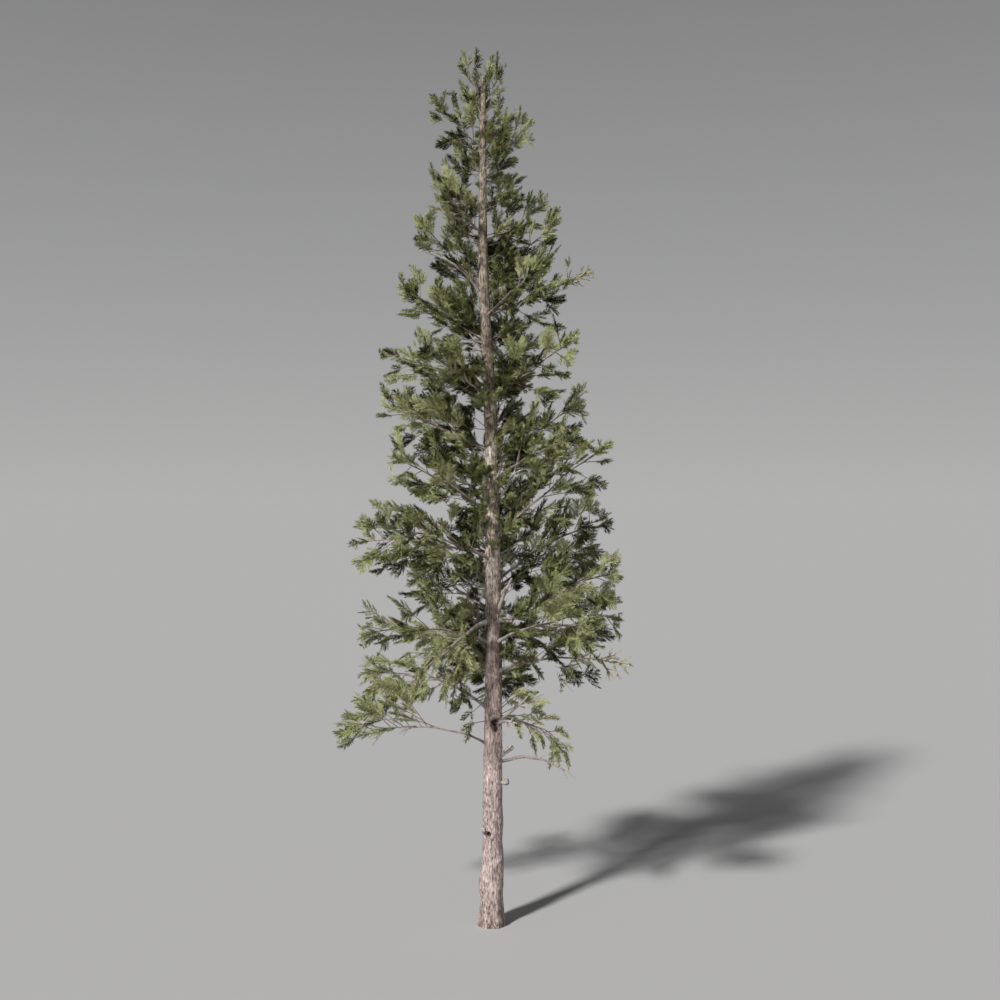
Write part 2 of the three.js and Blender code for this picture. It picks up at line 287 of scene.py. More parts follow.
bpy.ops.mesh.primitive_circle_add(vertices=TRUNK_SIDES, radius=float(trunk_radius(0)))
trunk = bpy.context.object
trunk.name = "trunk_bark"
bpy.ops.object.mode_set(mode="EDIT")
bpy.ops.mesh.select_all(action="SELECT")
ring_heights = [TRUNK_HEIGHT * (row / TRUNK_ROWS) ** ROW_CROWDING for row in range(TRUNK_ROWS + 1)]
for low, high in zip(ring_heights, ring_heights[1:]):
    bpy.ops.mesh.extrude_region_move(TRANSFORM_OT_translate={"value": trunk_axis(high) - trunk_axis(low)})
    taper = float(trunk_radius(high) / trunk_radius(low))
    bpy.ops.transform.resize(value=(taper, taper, 1), center_override=trunk_axis(high))
bpy.ops.mesh.edge_face_add()
bpy.ops.mesh.select_mode(type="VERT")
bpy.ops.object.mode_set(mode="OBJECT")


def pull_trunk(height, turn, out, spread, falloff, grip):
    """Pulls the bark in or out round one place on the stem, with a fall-off."""
    near = np.linalg.norm(points_of(trunk.data) - in_trunk(height, turn), axis=1) < grip
    bpy.ops.object.mode_set(mode="EDIT")
    bpy.ops.mesh.select_all(action="DESELECT")
    bpy.ops.object.mode_set(mode="OBJECT")
    trunk.data.vertices.foreach_set("select", near)
    bpy.ops.object.mode_set(mode="EDIT")
    bpy.ops.transform.translate(
        value=outward_from_trunk(turn) * out,
        use_proportional_edit=True,
        proportional_edit_falloff=falloff,
        proportional_size=spread,
    )
    bpy.ops.object.mode_set(mode="OBJECT")


# Root lobes parted by grooves, and the humps and dips of an old stem.
lobe_turns = [LOBE_TURN + 360 * k / LOBES for k in range(LOBES)]
groove_turns = [turn + 180 / LOBES for turn in lobe_turns]
pulls = [(0, turn, LOBE_OUT, LOBE_SPREAD) for turn in lobe_turns]
pulls += [(0, turn, GROOVE_IN, GROOVE_SPREAD) for turn in groove_turns]
for height, turn, out, spread in pulls + HUMPS:
    pull_trunk(height, turn, out, spread, "SMOOTH", HUMP_GRIP)


def apply_modifier(piece, kind, **settings):
    bpy.context.view_layer.objects.active = piece
    made = adjust(piece.modifiers.new(kind.lower(), kind), settings)
    bpy.ops.object.modifier_apply(modifier=made.name)


def weigh(piece, shares):
    """Marks how stout a piece is at each vertex, for relief that fades where it is thin."""
    stout = piece.vertex_groups.new(name="stout")
    for index, share in enumerate(np.asarray(shares).tolist()):
        stout.add([index], share, "REPLACE")


def press_grain(piece, texture, depth, stretch=1):
    """Presses a pattern into a surface, drawn out upwards by a stretch, and returns how far it moved."""
    before = points_of(piece.data)
    directions = np.array([v.normal for v in piece.data.vertices])
    bpy.ops.object.empty_add()
    grain = bpy.context.object
    grain.scale = (1, 1, stretch)
    bpy.context.view_layer.update()
    apply_modifier(
        piece, "DISPLACE", texture=texture, texture_coords="OBJECT", texture_coords_object=grain,
        strength=depth, mid_level=0.5, vertex_group="stout",
    )
    bpy.data.objects.remove(grain)
    return ((points_of(piece.data) - before) * directions).sum(axis=1)


apply_modifier(trunk, "SUBSURF", levels=SMOOTHING, render_levels=SMOOTHING)
for height, turn, radius, depth in HOLLOWS:
    pull_trunk(height, turn, HOLLOW_LIP, LIP_SPREAD * radius, "SMOOTH", HOLLOW_GRIP * radius)
    pull_trunk(height, turn, -depth, radius, "SPHERE", HOLLOW_GRIP * radius)
trunk_stoutness = np.clip(trunk_radius(points_of(trunk.data)[:, 2]) / TRUNK_RADIUS, THIN_BARK, 1)
weigh(trunk, trunk_stoutness)
swellings = adjust(bpy.data.textures.new("swellings", "CLOUDS"), SWELLINGS)
plates = adjust(bpy.data.textures.new("plates", "VORONOI"), PLATES)
flakes = adjust(bpy.data.textures.new("flakes", "CLOUDS"), FLAKES)
press_grain(trunk, swellings, SWELLING_DEPTH, SWELLING_STRETCH)
relief = press_grain(trunk, plates, PLATE_DEPTH, PLATE_STRETCH)
relief += press_grain(trunk, flakes, FLAKE_DEPTH, FLAKE_STRETCH)

# The cut at the ground is flat and closed.
bpy.ops.object.mode_set(mode="EDIT")
bpy.ops.mesh.select_mode(type="VERT")
bpy.ops.mesh.select_all(action="DESELECT")
bpy.ops.mesh.select_non_manifold()
bpy.ops.transform.resize(value=(1, 1, 0), center_override=(0, 0, 0))
bpy.ops.mesh.edge_face_add()
bpy.ops.object.mode_set(mode="OBJECT")


def keep_relief(piece, values):
    """Keeps how far the surface stands in or out at each vertex, for its finish to read."""
    made = piece.data.attributes.new("relief", "FLOAT", "POINT")
    made.data.foreach_set("value", np.asarray(values, np.float32))


def rot_and_shade_share(points, place, way, radius):
    """How far points lie inside a hollow, from 0 on its rim to 1 near its middle."""
    along = (points - place) @ way
    off = np.linalg.norm(points - place - along[:, None] * way, axis=1)
    near = np.abs(along) < ROT_AND_SHADE_RUN * radius
    return near * (1 - eased(off, ROT_AND_SHADE_EDGE[0] * radius, ROT_AND_SHADE_EDGE[1] * radius))


relief = relief / trunk_stoutness
bark_points = points_of(trunk.data)
furrow_fade = 1 - eased(bark_points[:, 2], *FURROW_FADE)
# Painted shade along the root grooves: the kept relief is lowered there so that the finish darkens them.
for turn in groove_turns:
    off = np.linalg.norm((bark_points - in_trunk(0, turn))[:, :2], axis=1)
    relief -= FURROW_SHADE * furrow_fade * (1 - eased(off, *FURROW_EDGE))
# The knot holes are darkened as rotten wood and as painted shade inside the holes.
for height, turn, radius, _ in HOLLOWS:
    relief -= ROT_AND_SHADE_DEPTH * rot_and_shade_share(bark_points, in_trunk(height, turn), outward_from_trunk(turn), radius)
keep_relief(trunk, relief)


def noise(tree, place, **settings):
    return add_node(tree, "ShaderNodeTexNoise", Vector=place, **settings).outputs["Fac"]


def ranged(tree, value, **ends):
    return add_node(tree, "ShaderNodeMapRange", Value=value, **ends).outputs["Result"]


def multiply(tree, colour, tint, share=1):
    settings = {"data_type": "RGBA", "blend_type": "MULTIPLY"}
    return add_node(tree, "ShaderNodeMix", settings, Factor=share, A=colour, B=tint).outputs["Result"]


def relief_of(tree):
    return add_node(tree, "ShaderNodeAttribute", {"attribute_name": "relief"}).outputs["Fac"]


def roughen(tree, surface, dryness, least, fine, depth):
    """Dry bark that is a little less dull where it is pale, with a fine grain of the given depth."""
    set_input(tree, surface, "Roughness", ranged(tree, dryness, To_Min=DRIEST, To_Max=least))
    bump = add_node(tree, "ShaderNodeBump", Height=fine, Strength=FINE_GRAIN, Distance=depth)
    set_input(tree, surface, "Normal", bump.outputs["Normal"])


def darken_rot_and_shade(tree, surface):
    """Turns a finish black-brown where its wood is rotten, and as painted shade in knot holes, split stubs
    and root grooves.
    """
    rot_and_shade = ranged(tree, relief_of(tree), From_Min=-0.038, From_Max=-0.018, To_Min=0.14)
    colour = surface.inputs["Base Color"].links[0].from_socket
    set_input(tree, surface, "Base Color", multiply(tree, colour, rot_and_shade))


def trunk_bark_finish():
    """Weathered larch bark: pale pinkish plates, darker fissures, mottled, and greyer brown with height, with
    painted light and shade by height, painted dappled shade in the mottling, and painted shade in the knot
    holes and root grooves.
    """
    made, tree, bark = new_finish("trunk_bark", BARK_GLOSS)
    place = add_node(tree, "ShaderNodeTexCoord").outputs["Object"]
    height = add_node(tree, "ShaderNodeSeparateXYZ", Vector=place).outputs["Z"]
    grain = add_node(tree, "ShaderNodeMapping", Vector=place, Scale=(1, 1, 0.24)).outputs["Vector"]
    streaks = noise(tree, grain, Scale=34, Detail=8, Roughness=0.78, Distortion=0.4)
    both = add_node(
        tree, "ShaderNodeMix", {"data_type": "FLOAT"}, Factor=0.5,
        A=ranged(tree, relief_of(tree), From_Min=-0.011, From_Max=0.009),
        B=ranged(tree, streaks, From_Min=0.4, From_Max=0.6),
    )
    colour = add_ramp(tree, BARK_BY_DEPTH, both.outputs["Result"])
    # The mottling also paints dappled shade of the foliage, and grows stronger up into the crown.
    mottle_and_dapples = add_ramp(tree, BARK_MOTTLE_AND_DAPPLED_SHADE, noise(tree, place, Scale=6, Detail=7, Roughness=0.75))
    mottle_and_dapple_strength = ranged(tree, height, From_Min=2.5, From_Max=7, To_Min=0.4)
    # Painted light and shade by height multiply the bark's colour here.
    tone_light_and_shade_by_height = add_ramp(tree, BARK_TONE_LIGHT_AND_SHADE_BY_HEIGHT, ranged(tree, height, From_Max=TRUNK_HEIGHT))
    colour = multiply(tree, multiply(tree, colour, mottle_and_dapples, mottle_and_dapple_strength), tone_light_and_shade_by_height)
    set_input(tree, bark, "Base Color", colour)
    roughen(tree, bark, streaks, 0.75, noise(tree, grain, Scale=140, Detail=5, Roughness=0.7), 0.006)
    darken_rot_and_shade(tree, bark)
    return made


def finish_piece(piece, finishes, slot, *nodes):
    for finish in finishes:
        piece.data.materials.append(finish)
    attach(piece, "root")
    if nodes:
        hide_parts(*nodes)


def smooth(piece):
    bpy.ops.object.select_all(action="DESELECT")
    piece.select_set(True)
    bpy.context.view_layer.objects.active = piece
    bpy.ops.object.shade_smooth()


smooth(trunk)
finish_piece(trunk, [trunk_bark_finish()], "trunk_bark", "trunk")

# The limbs: tapering branches that leave the trunk singly all round, arched and drooping low down and upswept
# towards the top. Each is one line from the trunk to its tip, swept with a round section that thins outwards,
# with small knots pressed into its bark.

# Limbs to the left and right: height of the root, reach sideways and lift of the tip.
LEFT_LIMBS = [
    (3.25, 2.85, 0),
    (3.9, 2.48, 0.48),
    (5.15, 2.3, 0.28),
    (6.76, 2.6, 0.24),
    (7.5, 1.74, 1.05),
    (8.65, 2.05, 0.93),
    (9.6, 1.95, 0.95),
    (10.7, 1.58, 1.11),
    (11.65, 1.17, 1.15),
    (13.05, 0.9, 0.74),
    (14.25, 0.88, 0.7),
    (14.95, 0.38, 1.05),
]
RIGHT_LIMBS = [
    (3.8, 1.38, -0.62),
    (4.6, 2.3, 0.3),
    (5.15, 2.39, 0.41),
    (5.35, 2.29, 1.1),
    (6.25, 2.18, 1.2),
    (7.05, 2.08, 1.72),
    (8.45, 1.7, 1.18),
    (9.6, 1.5, 1.03),
    (11.15, 1.95, 0.95),
    (11.8, 1.37, 1.13),
    (12.5, 1.15, 0.83),
    (13.8, 0.85, 0.8),
    (15, 0.33, 0.65),
]
FAN_LIMB = {"root": 5.6, "reach": 1.39, "lift": -1, "turn": -50}
SIDE_TURNS = [8, 30, -26, 14, -34, 22]
RIGHT_FIRST_TURN = 3
ROUND_LIMBS = 22
ROUND_FROM = 3.9
ROUND_TO = 14.9
FRONT_EVERY = 3
FRONT_TURN = 42
BACK_TURN = 52
GOLDEN_SHARE = 0.618
HALF_STEP = 0.5
CROWN_BASE = 3.2
CROWN_TOP = 15.5
LOW_REACH = 2.7
TOP_REACH = 0.3
REACH_POWER = 1.4
LOW_LIFT = 0.05
TOP_LIFT = 0.8
LOW_ARCH = 0.26
TOP_ARCH = -0.12
ARCH_POWER = 0.7
LOW_BARE = 0.36
TOP_BARE = 0.06
BARE_POWER = 0.45
LOW_LIMB_RADIUS = 0.032
TOP_LIMB_RADIUS = 0.013
LIMB_TO_TRUNK = 0.42
LIMB_TIP_SHARE = 0.15
LIMB_STOUTNESS = {"left_1": 0.65, "fan": 1.5}
SEED = 41
LEAST_LIMB_ROWS = 8
LIMB_ROW_STEP = 0.035
LIMB_SIDES = 3
LIMB_COLLAR = 0.6
LIMB_COLLAR_FADE = 0.07
LIMB_WAVER = 0.022
WAVER_RUNS = (9, 23)
HEAVE_RUNS = (8, 21)
FINE_WAVER = 0.5
KNOTTY = {"noise_scale": 0.03, "noise_depth": 2}
KNOTTY_DEPTH = 0.02
WOOD_STOPS = (0.28, 0.48, 0.7)
BOUGH_TONES = [(0.12, 0.095, 0.085), (0.28, 0.235, 0.21), (0.48, 0.42, 0.385)]
UP = np.array([0.0, 0.0, 1.0])


def crown_share(root):
    return float(np.clip((root - CROWN_BASE) / (CROWN_TOP - CROWN_BASE), 0, 1))


def unit(vectors):
    return vectors / np.maximum(np.linalg.norm(vectors, axis=-1, keepdims=True), 1e-9)


def across(directions):
    """The level and the upright direction across a line that isn't itself upright."""
    side = unit(np.cross(directions, UP))
    return side, np.cross(side, directions)


def make_limb(name, root, azimuth, length, lift, seed):
    share = crown_share(root)
    start = trunk_axis(root)
    azimuth = math.radians(azimuth)
    tip = start + length * np.array([math.cos(azimuth), math.sin(azimuth), 0]) + lift * UP
    middle = (start + tip) / 2 + between(LOW_ARCH, TOP_ARCH, share**ARCH_POWER) * length * UP
    radius = between(LOW_LIMB_RADIUS, TOP_LIMB_RADIUS, share)
    radius = min(radius, LIMB_TO_TRUNK * float(trunk_radius(root))) * LIMB_STOUTNESS.get(name, 1)
    bare = between(LOW_BARE, TOP_BARE, share**BARE_POWER)
    return SimpleNamespace(
        name=name, root=root, length=length, lift=lift, start=start, middle=middle, tip=tip, seed=seed,
        share=share, bare=bare, radius=radius,
    )


def side_limb(name, root, reach, lift, turn, leftwards, seed):
    azimuth = 180 - turn if leftwards else turn
    return make_limb(name, root, azimuth, reach / math.cos(math.radians(turn)), lift, seed)


def round_limb(index, seed):
    root = between(ROUND_FROM, ROUND_TO, (index + HALF_STEP) / ROUND_LIMBS)
    share = crown_share(root)
    length = TOP_REACH + (LOW_REACH - TOP_REACH) * (1 - share**REACH_POWER)
    group = index // FRONT_EVERY
    front = index % FRONT_EVERY == FRONT_EVERY - 1
    spread = BACK_TURN * (((group + (index % FRONT_EVERY) * HALF_STEP) * GOLDEN_SHARE) % 1)
    if front:
        azimuth = -90 + FRONT_TURN * (-1 if group % 2 else 1)
    else:
        azimuth = 90 + spread * (1 if index % 2 else -1)
    name = f"{'front' if front else 'back'}_{index + 1}"
    return make_limb(name, root, azimuth, length, length * between(LOW_LIFT, TOP_LIFT, share), seed)


def all_limbs():
    made = []
    for side, rows, first_turn in (("left", LEFT_LIMBS, 0), ("right", RIGHT_LIMBS, RIGHT_FIRST_TURN)):
        for i, (root, reach, lift) in enumerate(rows):
            turn = SIDE_TURNS[(i + first_turn) % len(SIDE_TURNS)]
            name = f"{side}_{i + 1}"
            made.append(side_limb(name, root, reach, lift, turn, side == "left", SEED + len(made)))
    made.append(side_limb("fan", **FAN_LIMB, leftwards=True, seed=SEED + len(made)))
    for i in range(ROUND_LIMBS):
        made.append(round_limb(i, SEED + len(made)))
    return {limb.name: limb for limb in made}


def limb_point(limb, at):
    at = np.asarray(at, float)[..., None]
    return (1 - at) ** 2 * limb.start + 2 * at * (1 - at) * limb.middle + at**2 * limb.tip


def limb_direction(limb, at):
    at = np.asarray(at, float)[..., None]
    return unit((1 - at) * (limb.middle - limb.start) + at * (limb.tip - limb.middle))


def sweep(name, lines, roundness):
    """Round branches along lines of points, each point with its own radius, as one mesh with closed ends."""
    bpy.ops.object.select_all(action="DESELECT")
    bpy.ops.curve.primitive_bezier_curve_add()
    branch = bpy.context.object
    branch.name = name
    branch.data.splines.clear()
    shape = {"dimensions": "3D", "bevel_depth": 1, "bevel_resolution": roundness, "use_fill_caps": True}
    adjust(branch.data, shape)
    for points, radii in lines:
        line = branch.data.splines.new("POLY")
        line.points.add(len(points) - 1)
        line.points.foreach_set("co", np.c_[points, np.ones(len(points))].astype(np.float32).ravel())
        line.points.foreach_set("radius", np.asarray(radii, np.float32))
    bpy.ops.object.convert(target="MESH")
    piece = bpy.context.object
    radii = np.concatenate([radii for _, radii in lines])
    ring = len(piece.data.vertices) // len(radii)
    weigh(piece, np.repeat(np.clip(radii / radii.max(), 0, 1), ring))
    smooth(piece)
    return piece


def wave(at, runs, phases):
    return np.sin(runs[0] * at + phases[0]) + FINE_WAVER * np.sin(runs[1] * at + phases[1])


def limb_line(limb):
    at = np.linspace(0, 1, max(LEAST_LIMB_ROWS, round(limb.length / LIMB_ROW_STEP)))
    side, rise = across(limb_direction(limb, at))
    phases = np.random.default_rng(limb.seed).uniform(0, 2 * np.pi, 4)
    fade = (at * (1 - at) * 4)[:, None]
    waver = wave(at, WAVER_RUNS, phases[:2])[:, None]
    heave = wave(at, HEAVE_RUNS, phases[2:])[:, None]
    points = limb_point(limb, at) + LIMB_WAVER * fade * (side * waver + rise * heave)
    clear = np.maximum(at * limb.length - trunk_radius(limb.root), 0)
    radii = limb.radius * between(1, LIMB_TIP_SHARE, at)
    return points, radii * (1 + LIMB_COLLAR * np.exp(-clear / LIMB_COLLAR_FADE))


limbs = all_limbs()
boughs = sweep("bough_bark", [limb_line(limb) for limb in limbs.values()], LIMB_SIDES)
knotty = adjust(bpy.data.textures.new("knots", "CLOUDS"), KNOTTY)
keep_relief(boughs, press_grain(boughs, knotty, KNOTTY_DEPTH))


def mottled_finish(name, tones):
    """Smoother bark of the limbs, or bare wood: mottled with paler scales, darker in its hollows."""
    made, tree, wood = new_finish(name, BARK_GLOSS)
    place = add_node(tree, "ShaderNodeTexCoord").outputs["Object"]
    mottle = noise(tree, place, Scale=14, Detail=6, Roughness=0.7)
    depth = ranged(tree, relief_of(tree), From_Min=-0.006, From_Max=0.006, To_Min=-0.2, To_Max=0.2)
    both = add_node(tree, "ShaderNodeMath", {"operation": "ADD"})
    set_input(tree, both, 0, mottle)
    set_input(tree, both, 1, depth)
    tone = add_ramp(tree, list(zip(WOOD_STOPS, tones)), both.outputs["Value"])
    set_input(tree, wood, "Base Color", tone)
    roughen(tree, wood, mottle, 0.72, noise(tree, place, Scale=120, Detail=4), 0.004)
    return made


bough_nodes = [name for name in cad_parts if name.startswith("bough_")]
finish_piece(boughs, [mottled_finish("bough_bark", BOUGH_TONES)], "bough_bark", *bough_nodes)

# Knots of the clear stem: the swollen ends of limbs that were shed, bare pale wood rounded over or snapped
# off. Each is drawn ring by ring out of the bark along the old limb's direction, and snapped stubs have split
# open on the side that faces the front.
KNOT_SIDES = 12
# Outlines of a knot: share of the way out, and share of its radius.
KNOB = [(-0.6, 0.6), (0, 0.55), (0.2, 0.6), (0.4, 0.88), (0.6, 1.0), (0.8, 0.92), (0.94, 0.6), (1, 0.25)]
STUB = [(-0.5, 0.85), (0, 0.7), (0.3, 0.66), (0.6, 0.86), (0.85, 1.0), (1, 0.74), (0.97, 0.35)]
KNOTS = [
    {"height": 1.77, "turn": -140, "rise": 5, "out": 0.085, "radius": 0.062, "outline": KNOB},
    {"height": 2.62, "turn": -15, "rise": 8, "out": 0.14, "radius": 0.07, "outline": KNOB},
    {"height": 3.12, "turn": -18, "rise": 40, "out": 0.27, "radius": 0.062, "outline": STUB},
    {"height": 5.6, "turn": -32, "rise": 4, "out": 0.28, "radius": 0.068, "outline": STUB},
]
KNOT_GRAIN = 0.022
CRACK = (0.06, 0.28)
CRACK_ALONG = (0.25, 1.02)
CRACK_DEPTH = 0.014
KNOT_TONES = [(0.18, 0.15, 0.138), (0.42, 0.36, 0.335), (0.6, 0.535, 0.5)]


def draw_knot(place, way, out, radius, outline):
    rings = [(place + way * out * along, radius * share) for along, share in outline]
    facing = Vector(way).to_track_quat("Z", "Y").to_euler()
    foot, foot_radius = rings[0]
    bpy.ops.mesh.primitive_circle_add(
        vertices=KNOT_SIDES, radius=foot_radius, location=foot, rotation=facing)
    bpy.ops.object.mode_set(mode="EDIT")
    bpy.ops.mesh.select_all(action="SELECT")
    for (low, narrow), (high, wide) in zip(rings, rings[1:]):
        bpy.ops.mesh.extrude_region_move(TRANSFORM_OT_translate={"value": high - low})
        bpy.ops.transform.resize(value=(wide / narrow,) * 3, center_override=high)
    bpy.ops.mesh.merge(type="CENTER")
    bpy.ops.mesh.select_mode(type="VERT")
    bpy.ops.mesh.select_all(action="DESELECT")
    bpy.ops.mesh.select_non_manifold()
    bpy.ops.mesh.edge_face_add()
    bpy.ops.mesh.select_all(action="SELECT")
    bpy.ops.mesh.normals_make_consistent(inside=False)
    bpy.ops.object.mode_set(mode="OBJECT")
    bpy.ops.object.transform_apply(location=True, rotation=True, scale=True)
    return bpy.context.object


def crack_along(points, place, way, out):
    """Where a snapped stub has split lengthwise on the side that faces the front, and that side."""
    along = (points - place) @ way
    off = points - place - along[:, None] * way
    front = unit(np.array([0.0, -1.0, 0.0]) + way[1] * way)
    angle = np.arccos(np.clip(unit(off) @ front, -1, 1))
    first, last = CRACK_ALONG
    near = (along > first * out) & (along < last * out) & (np.linalg.norm(off, axis=1) < out)
    return near * (1 - eased(angle, *CRACK)), front


drawn_knots = []
for knot in KNOTS:
    knot["way"] = outward_from_trunk(knot["turn"], knot["rise"])
    knot["place"] = in_trunk(knot["height"], knot["turn"])
    drawn_knots.append(draw_knot(knot["place"], knot["way"], knot["out"], knot["radius"], knot["outline"]))
bpy.ops.object.select_all(action="DESELECT")
for knot in drawn_knots:
    knot.select_set(True)
bpy.context.view_layer.objects.active = drawn_knots[0]
bpy.ops.object.join()
stem_knots = bpy.context.object
stem_knots.name = "stem_knots"
apply_modifier(stem_knots, "SUBSURF", levels=SMOOTHING, render_levels=SMOOTHING)
weigh(stem_knots, np.ones(len(stem_knots.data.vertices)))
knot_relief = press_grain(stem_knots, knotty, KNOT_GRAIN)
knot_points = points_of(stem_knots.data).astype(float)
for knot in KNOTS:
    if knot["outline"] is STUB:
        split, front = crack_along(knot_points, knot["place"], knot["way"], knot["out"])
        knot_points -= CRACK_DEPTH * split[:, None] * front
        # The split is darkened as well, as painted shade in the crack.
        knot_relief -= ROT_AND_SHADE_DEPTH * split
stem_knots.data.vertices.foreach_set("co", knot_points.astype(np.float32).ravel())
stem_knots.data.update()
keep_relief(stem_knots, knot_relief)
smooth(stem_knots)
knot_wood = mottled_finish("dead_wood", KNOT_TONES)
darken_rot_and_shade(knot_wood.node_tree, knot_wood.node_tree.nodes["Principled BSDF"])
finish_piece(stem_knots, [knot_wood], "dead_wood", "trunk")

# The dead limb low on the right: bare grey wood that arches out and droops, with the stubs of a few twigs.
# It still grows out of the trunk, has lost its bark, and is swept like the other limbs.
DEAD_LIMB = {"root": 2.96, "reach": 1.48, "lift": -0.215, "turn": -12, "seed": 7}
DEAD_ARCH = 0.3
DEAD_PEAK = 0.62
DEAD_RADIUS = 0.03
DEAD_FOOT = 1.1
DEAD_TAPER = 1.2
# Its twigs: share of the way along, length, and how far sideways and upwards they turn.
DEAD_TWIGS = [(0.5, 0.17, 0.35, 1), (0.62, 0.33, -0.9, 0.4), (0.8, 0.24, 0.8, -0.3)]
DEAD_TWIG_ROWS = 7
DEAD_TWIG_RADIUS = 0.012
DEAD_TWIG_TIP = 0.3
DEAD_TWIG_DROOP = 0.12
DEAD_TONES = [(0.13, 0.1, 0.092), (0.33, 0.27, 0.25), (0.5, 0.43, 0.4)]
dead_line = side_limb("dead", **DEAD_LIMB, leftwards=False)
dead_line.middle = between(dead_line.start, dead_line.tip, DEAD_PEAK) + DEAD_ARCH * dead_line.length * UP
dead_points, _ = limb_line(dead_line)
dead_taper = np.linspace(0, 1, len(dead_points)) ** DEAD_TAPER
dead_lines = [(dead_points, DEAD_RADIUS * between(DEAD_FOOT, LIMB_TIP_SHARE, dead_taper))]
steps = np.linspace(0, 1, DEAD_TWIG_ROWS)
for at, length, sideways, upward in DEAD_TWIGS:
    along = limb_direction(dead_line, at)
    side, rise = across(along)
    way = unit(along + sideways * side + upward * rise)
    points = limb_point(dead_line, at) + steps[:, None] * length * way
    points = points - DEAD_TWIG_DROOP * length * (steps**2)[:, None] * UP
    dead_lines.append((points, DEAD_TWIG_RADIUS * between(1, DEAD_TWIG_TIP, steps)))
dead_limb = sweep("dead_limb_wood", dead_lines, LIMB_SIDES)
keep_relief(dead_limb, press_grain(dead_limb, knotty, KNOTTY_DEPTH))
finish_piece(dead_limb, [mottled_finish("weathered_limb", DEAD_TONES)], "dead_wood", "dead_limb")

# Bare twigs: dead side shoots of the stem, and the knobbly twigs of boughs that have lost their needles. They
# are thin forked wood with a bead at each old spur, bleached on the stem and straw-coloured on the boughs.
# They stand in the trunk or run on from a bough.

# On the stem: height, turn, length, rise and radius.
STEM_TWIGS = [
    (3.74, -30, 0.8, 36, 0.02),
    (3.7, -38, 0.48, 10, 0.026),
    (3.72, -62, 0.4, -50, 0.008),
    (5.72, -28, 0.74, 60, 0.03),
    (5.76, -40, 0.5, 72, 0.02),
    (7.12, 212, 0.42, 55, 0.014),
    (7.75, -34, 1.05, 57, 0.022),
    (8.2, -30, 0.5, 70, 0.014),
    (10.52, 200, 0.34, 8, 0.014),
    (11.48, 214, 1.4, 45, 0.025),
    (10.66, 196, 0.32, 22, 0.012),
    (14.82, 200, 0.32, 68, 0.012),
]
STEM_TWIG_FOOT = 0.6
BARE_ENDS = {"right_2": 0.78, "right_9": 0.76}
LIMB_TWIGS = [
    {"limb": "right_2", "at": (0.76, 0.97), "count": 8, "spread": 0.8, "length": (0.3, 0.5), "radius": 0.017},
    {"limb": "right_9", "at": (0.74, 0.97), "count": 8, "spread": 0.8, "length": (0.3, 0.5), "radius": 0.016},
    {"limb": "left_1", "at": (0.5, 0.68), "count": 3, "spread": 1.1, "length": (0.35, 0.6), "radius": 0.008},
    {"limb": "left_4", "at": (0.45, 0.75), "count": 4, "spread": 0.9, "length": (0.3, 0.5), "radius": 0.009},
    {"limb": "right_1", "at": (0.2, 0.5), "count": 4, "spread": 1.1, "length": (0.2, 0.35), "radius": 0.008},
    {"limb": "fan", "at": (0.3, 0.9), "count": 14, "spread": 1.0, "length": (0.4, 0.7), "radius": 0.009},
]
LIMB_TWIG_SPREAD = (0.4, 1)
LIMB_TWIG_SPARE = 0.1
TWIG_TURN = 2.4
TWIG_WANDER = (-0.4, 0.4)
BARE_SIDES = 1
BARE_BEND = 0.09
BARE_RUNS = (3, 3.4)
BARE_TIP_SHARE = 0.35
LEAST_BARE_ROWS = 6
SPUR_STEP = 0.035
SPUR_BEAD = 0.9
BEADS_TO_A_SPUR = 3
FIRST_BEAD = 0.1
FORKS = (2, 5)
FORK_AT = (0.35, 0.8)
FORK_SPREAD = 0.9
FORK_LENGTH = 0.9
FORK_RADIUS = 0.6
SHOWN_FROM = 0.014
SHOWN_ON_FAN = (0.08, 0.45)
FAN_POINTS = 40
KNOT_POINTS = 8
BLEACHED_TONES = [(0.24, 0.205, 0.185), (0.5, 0.435, 0.4), (0.68, 0.61, 0.57)]
STRAW_TONES = [(0.16, 0.145, 0.085), (0.37, 0.345, 0.22), (0.55, 0.52, 0.36)]


def bare_twig(start, way, length, radius, chance):
    """The line of one bare twig that wavers and tapers, beaded at its spurs."""
    count = max(LEAST_BARE_ROWS, round(length / SPUR_STEP) * BEADS_TO_A_SPUR)
    steps = np.linspace(0, 1, count)
    side, rise = across(way)
    bend = chance.normal(0, BARE_BEND, 4)
    curve = np.outer(bend[0] * np.sin(BARE_RUNS[0] * steps) + bend[1] * steps**2, side)
    curve += np.outer(bend[2] * np.sin(BARE_RUNS[1] * steps) + bend[3] * steps**2, rise)
    points = start + length * (np.outer(steps, way) + curve)
    beads = 1 + SPUR_BEAD * (np.arange(count) % BEADS_TO_A_SPUR == 1) * (steps > FIRST_BEAD)
    return points, radius * between(1, BARE_TIP_SHARE, steps) * beads


def forked_twig(start, way, length, radius, chance):
    """A bare twig with the side shoots that it has kept."""
    lines = [bare_twig(start, way, length, radius, chance)]
    points = lines[0][0]
    side, rise = across(way)
    for at in chance.uniform(*FORK_AT, chance.integers(*FORKS)):
        fork = points[int(at * (len(points) - 1))]
        turn = chance.uniform(0, 2 * np.pi)
        outward = math.cos(turn) * side + math.sin(turn) * rise
        branch_way = unit(way + FORK_SPREAD * outward)
        branch_length = length * (1 - at) * FORK_LENGTH
        lines.append(bare_twig(fork, branch_way, branch_length, radius * FORK_RADIUS, chance))
    return lines


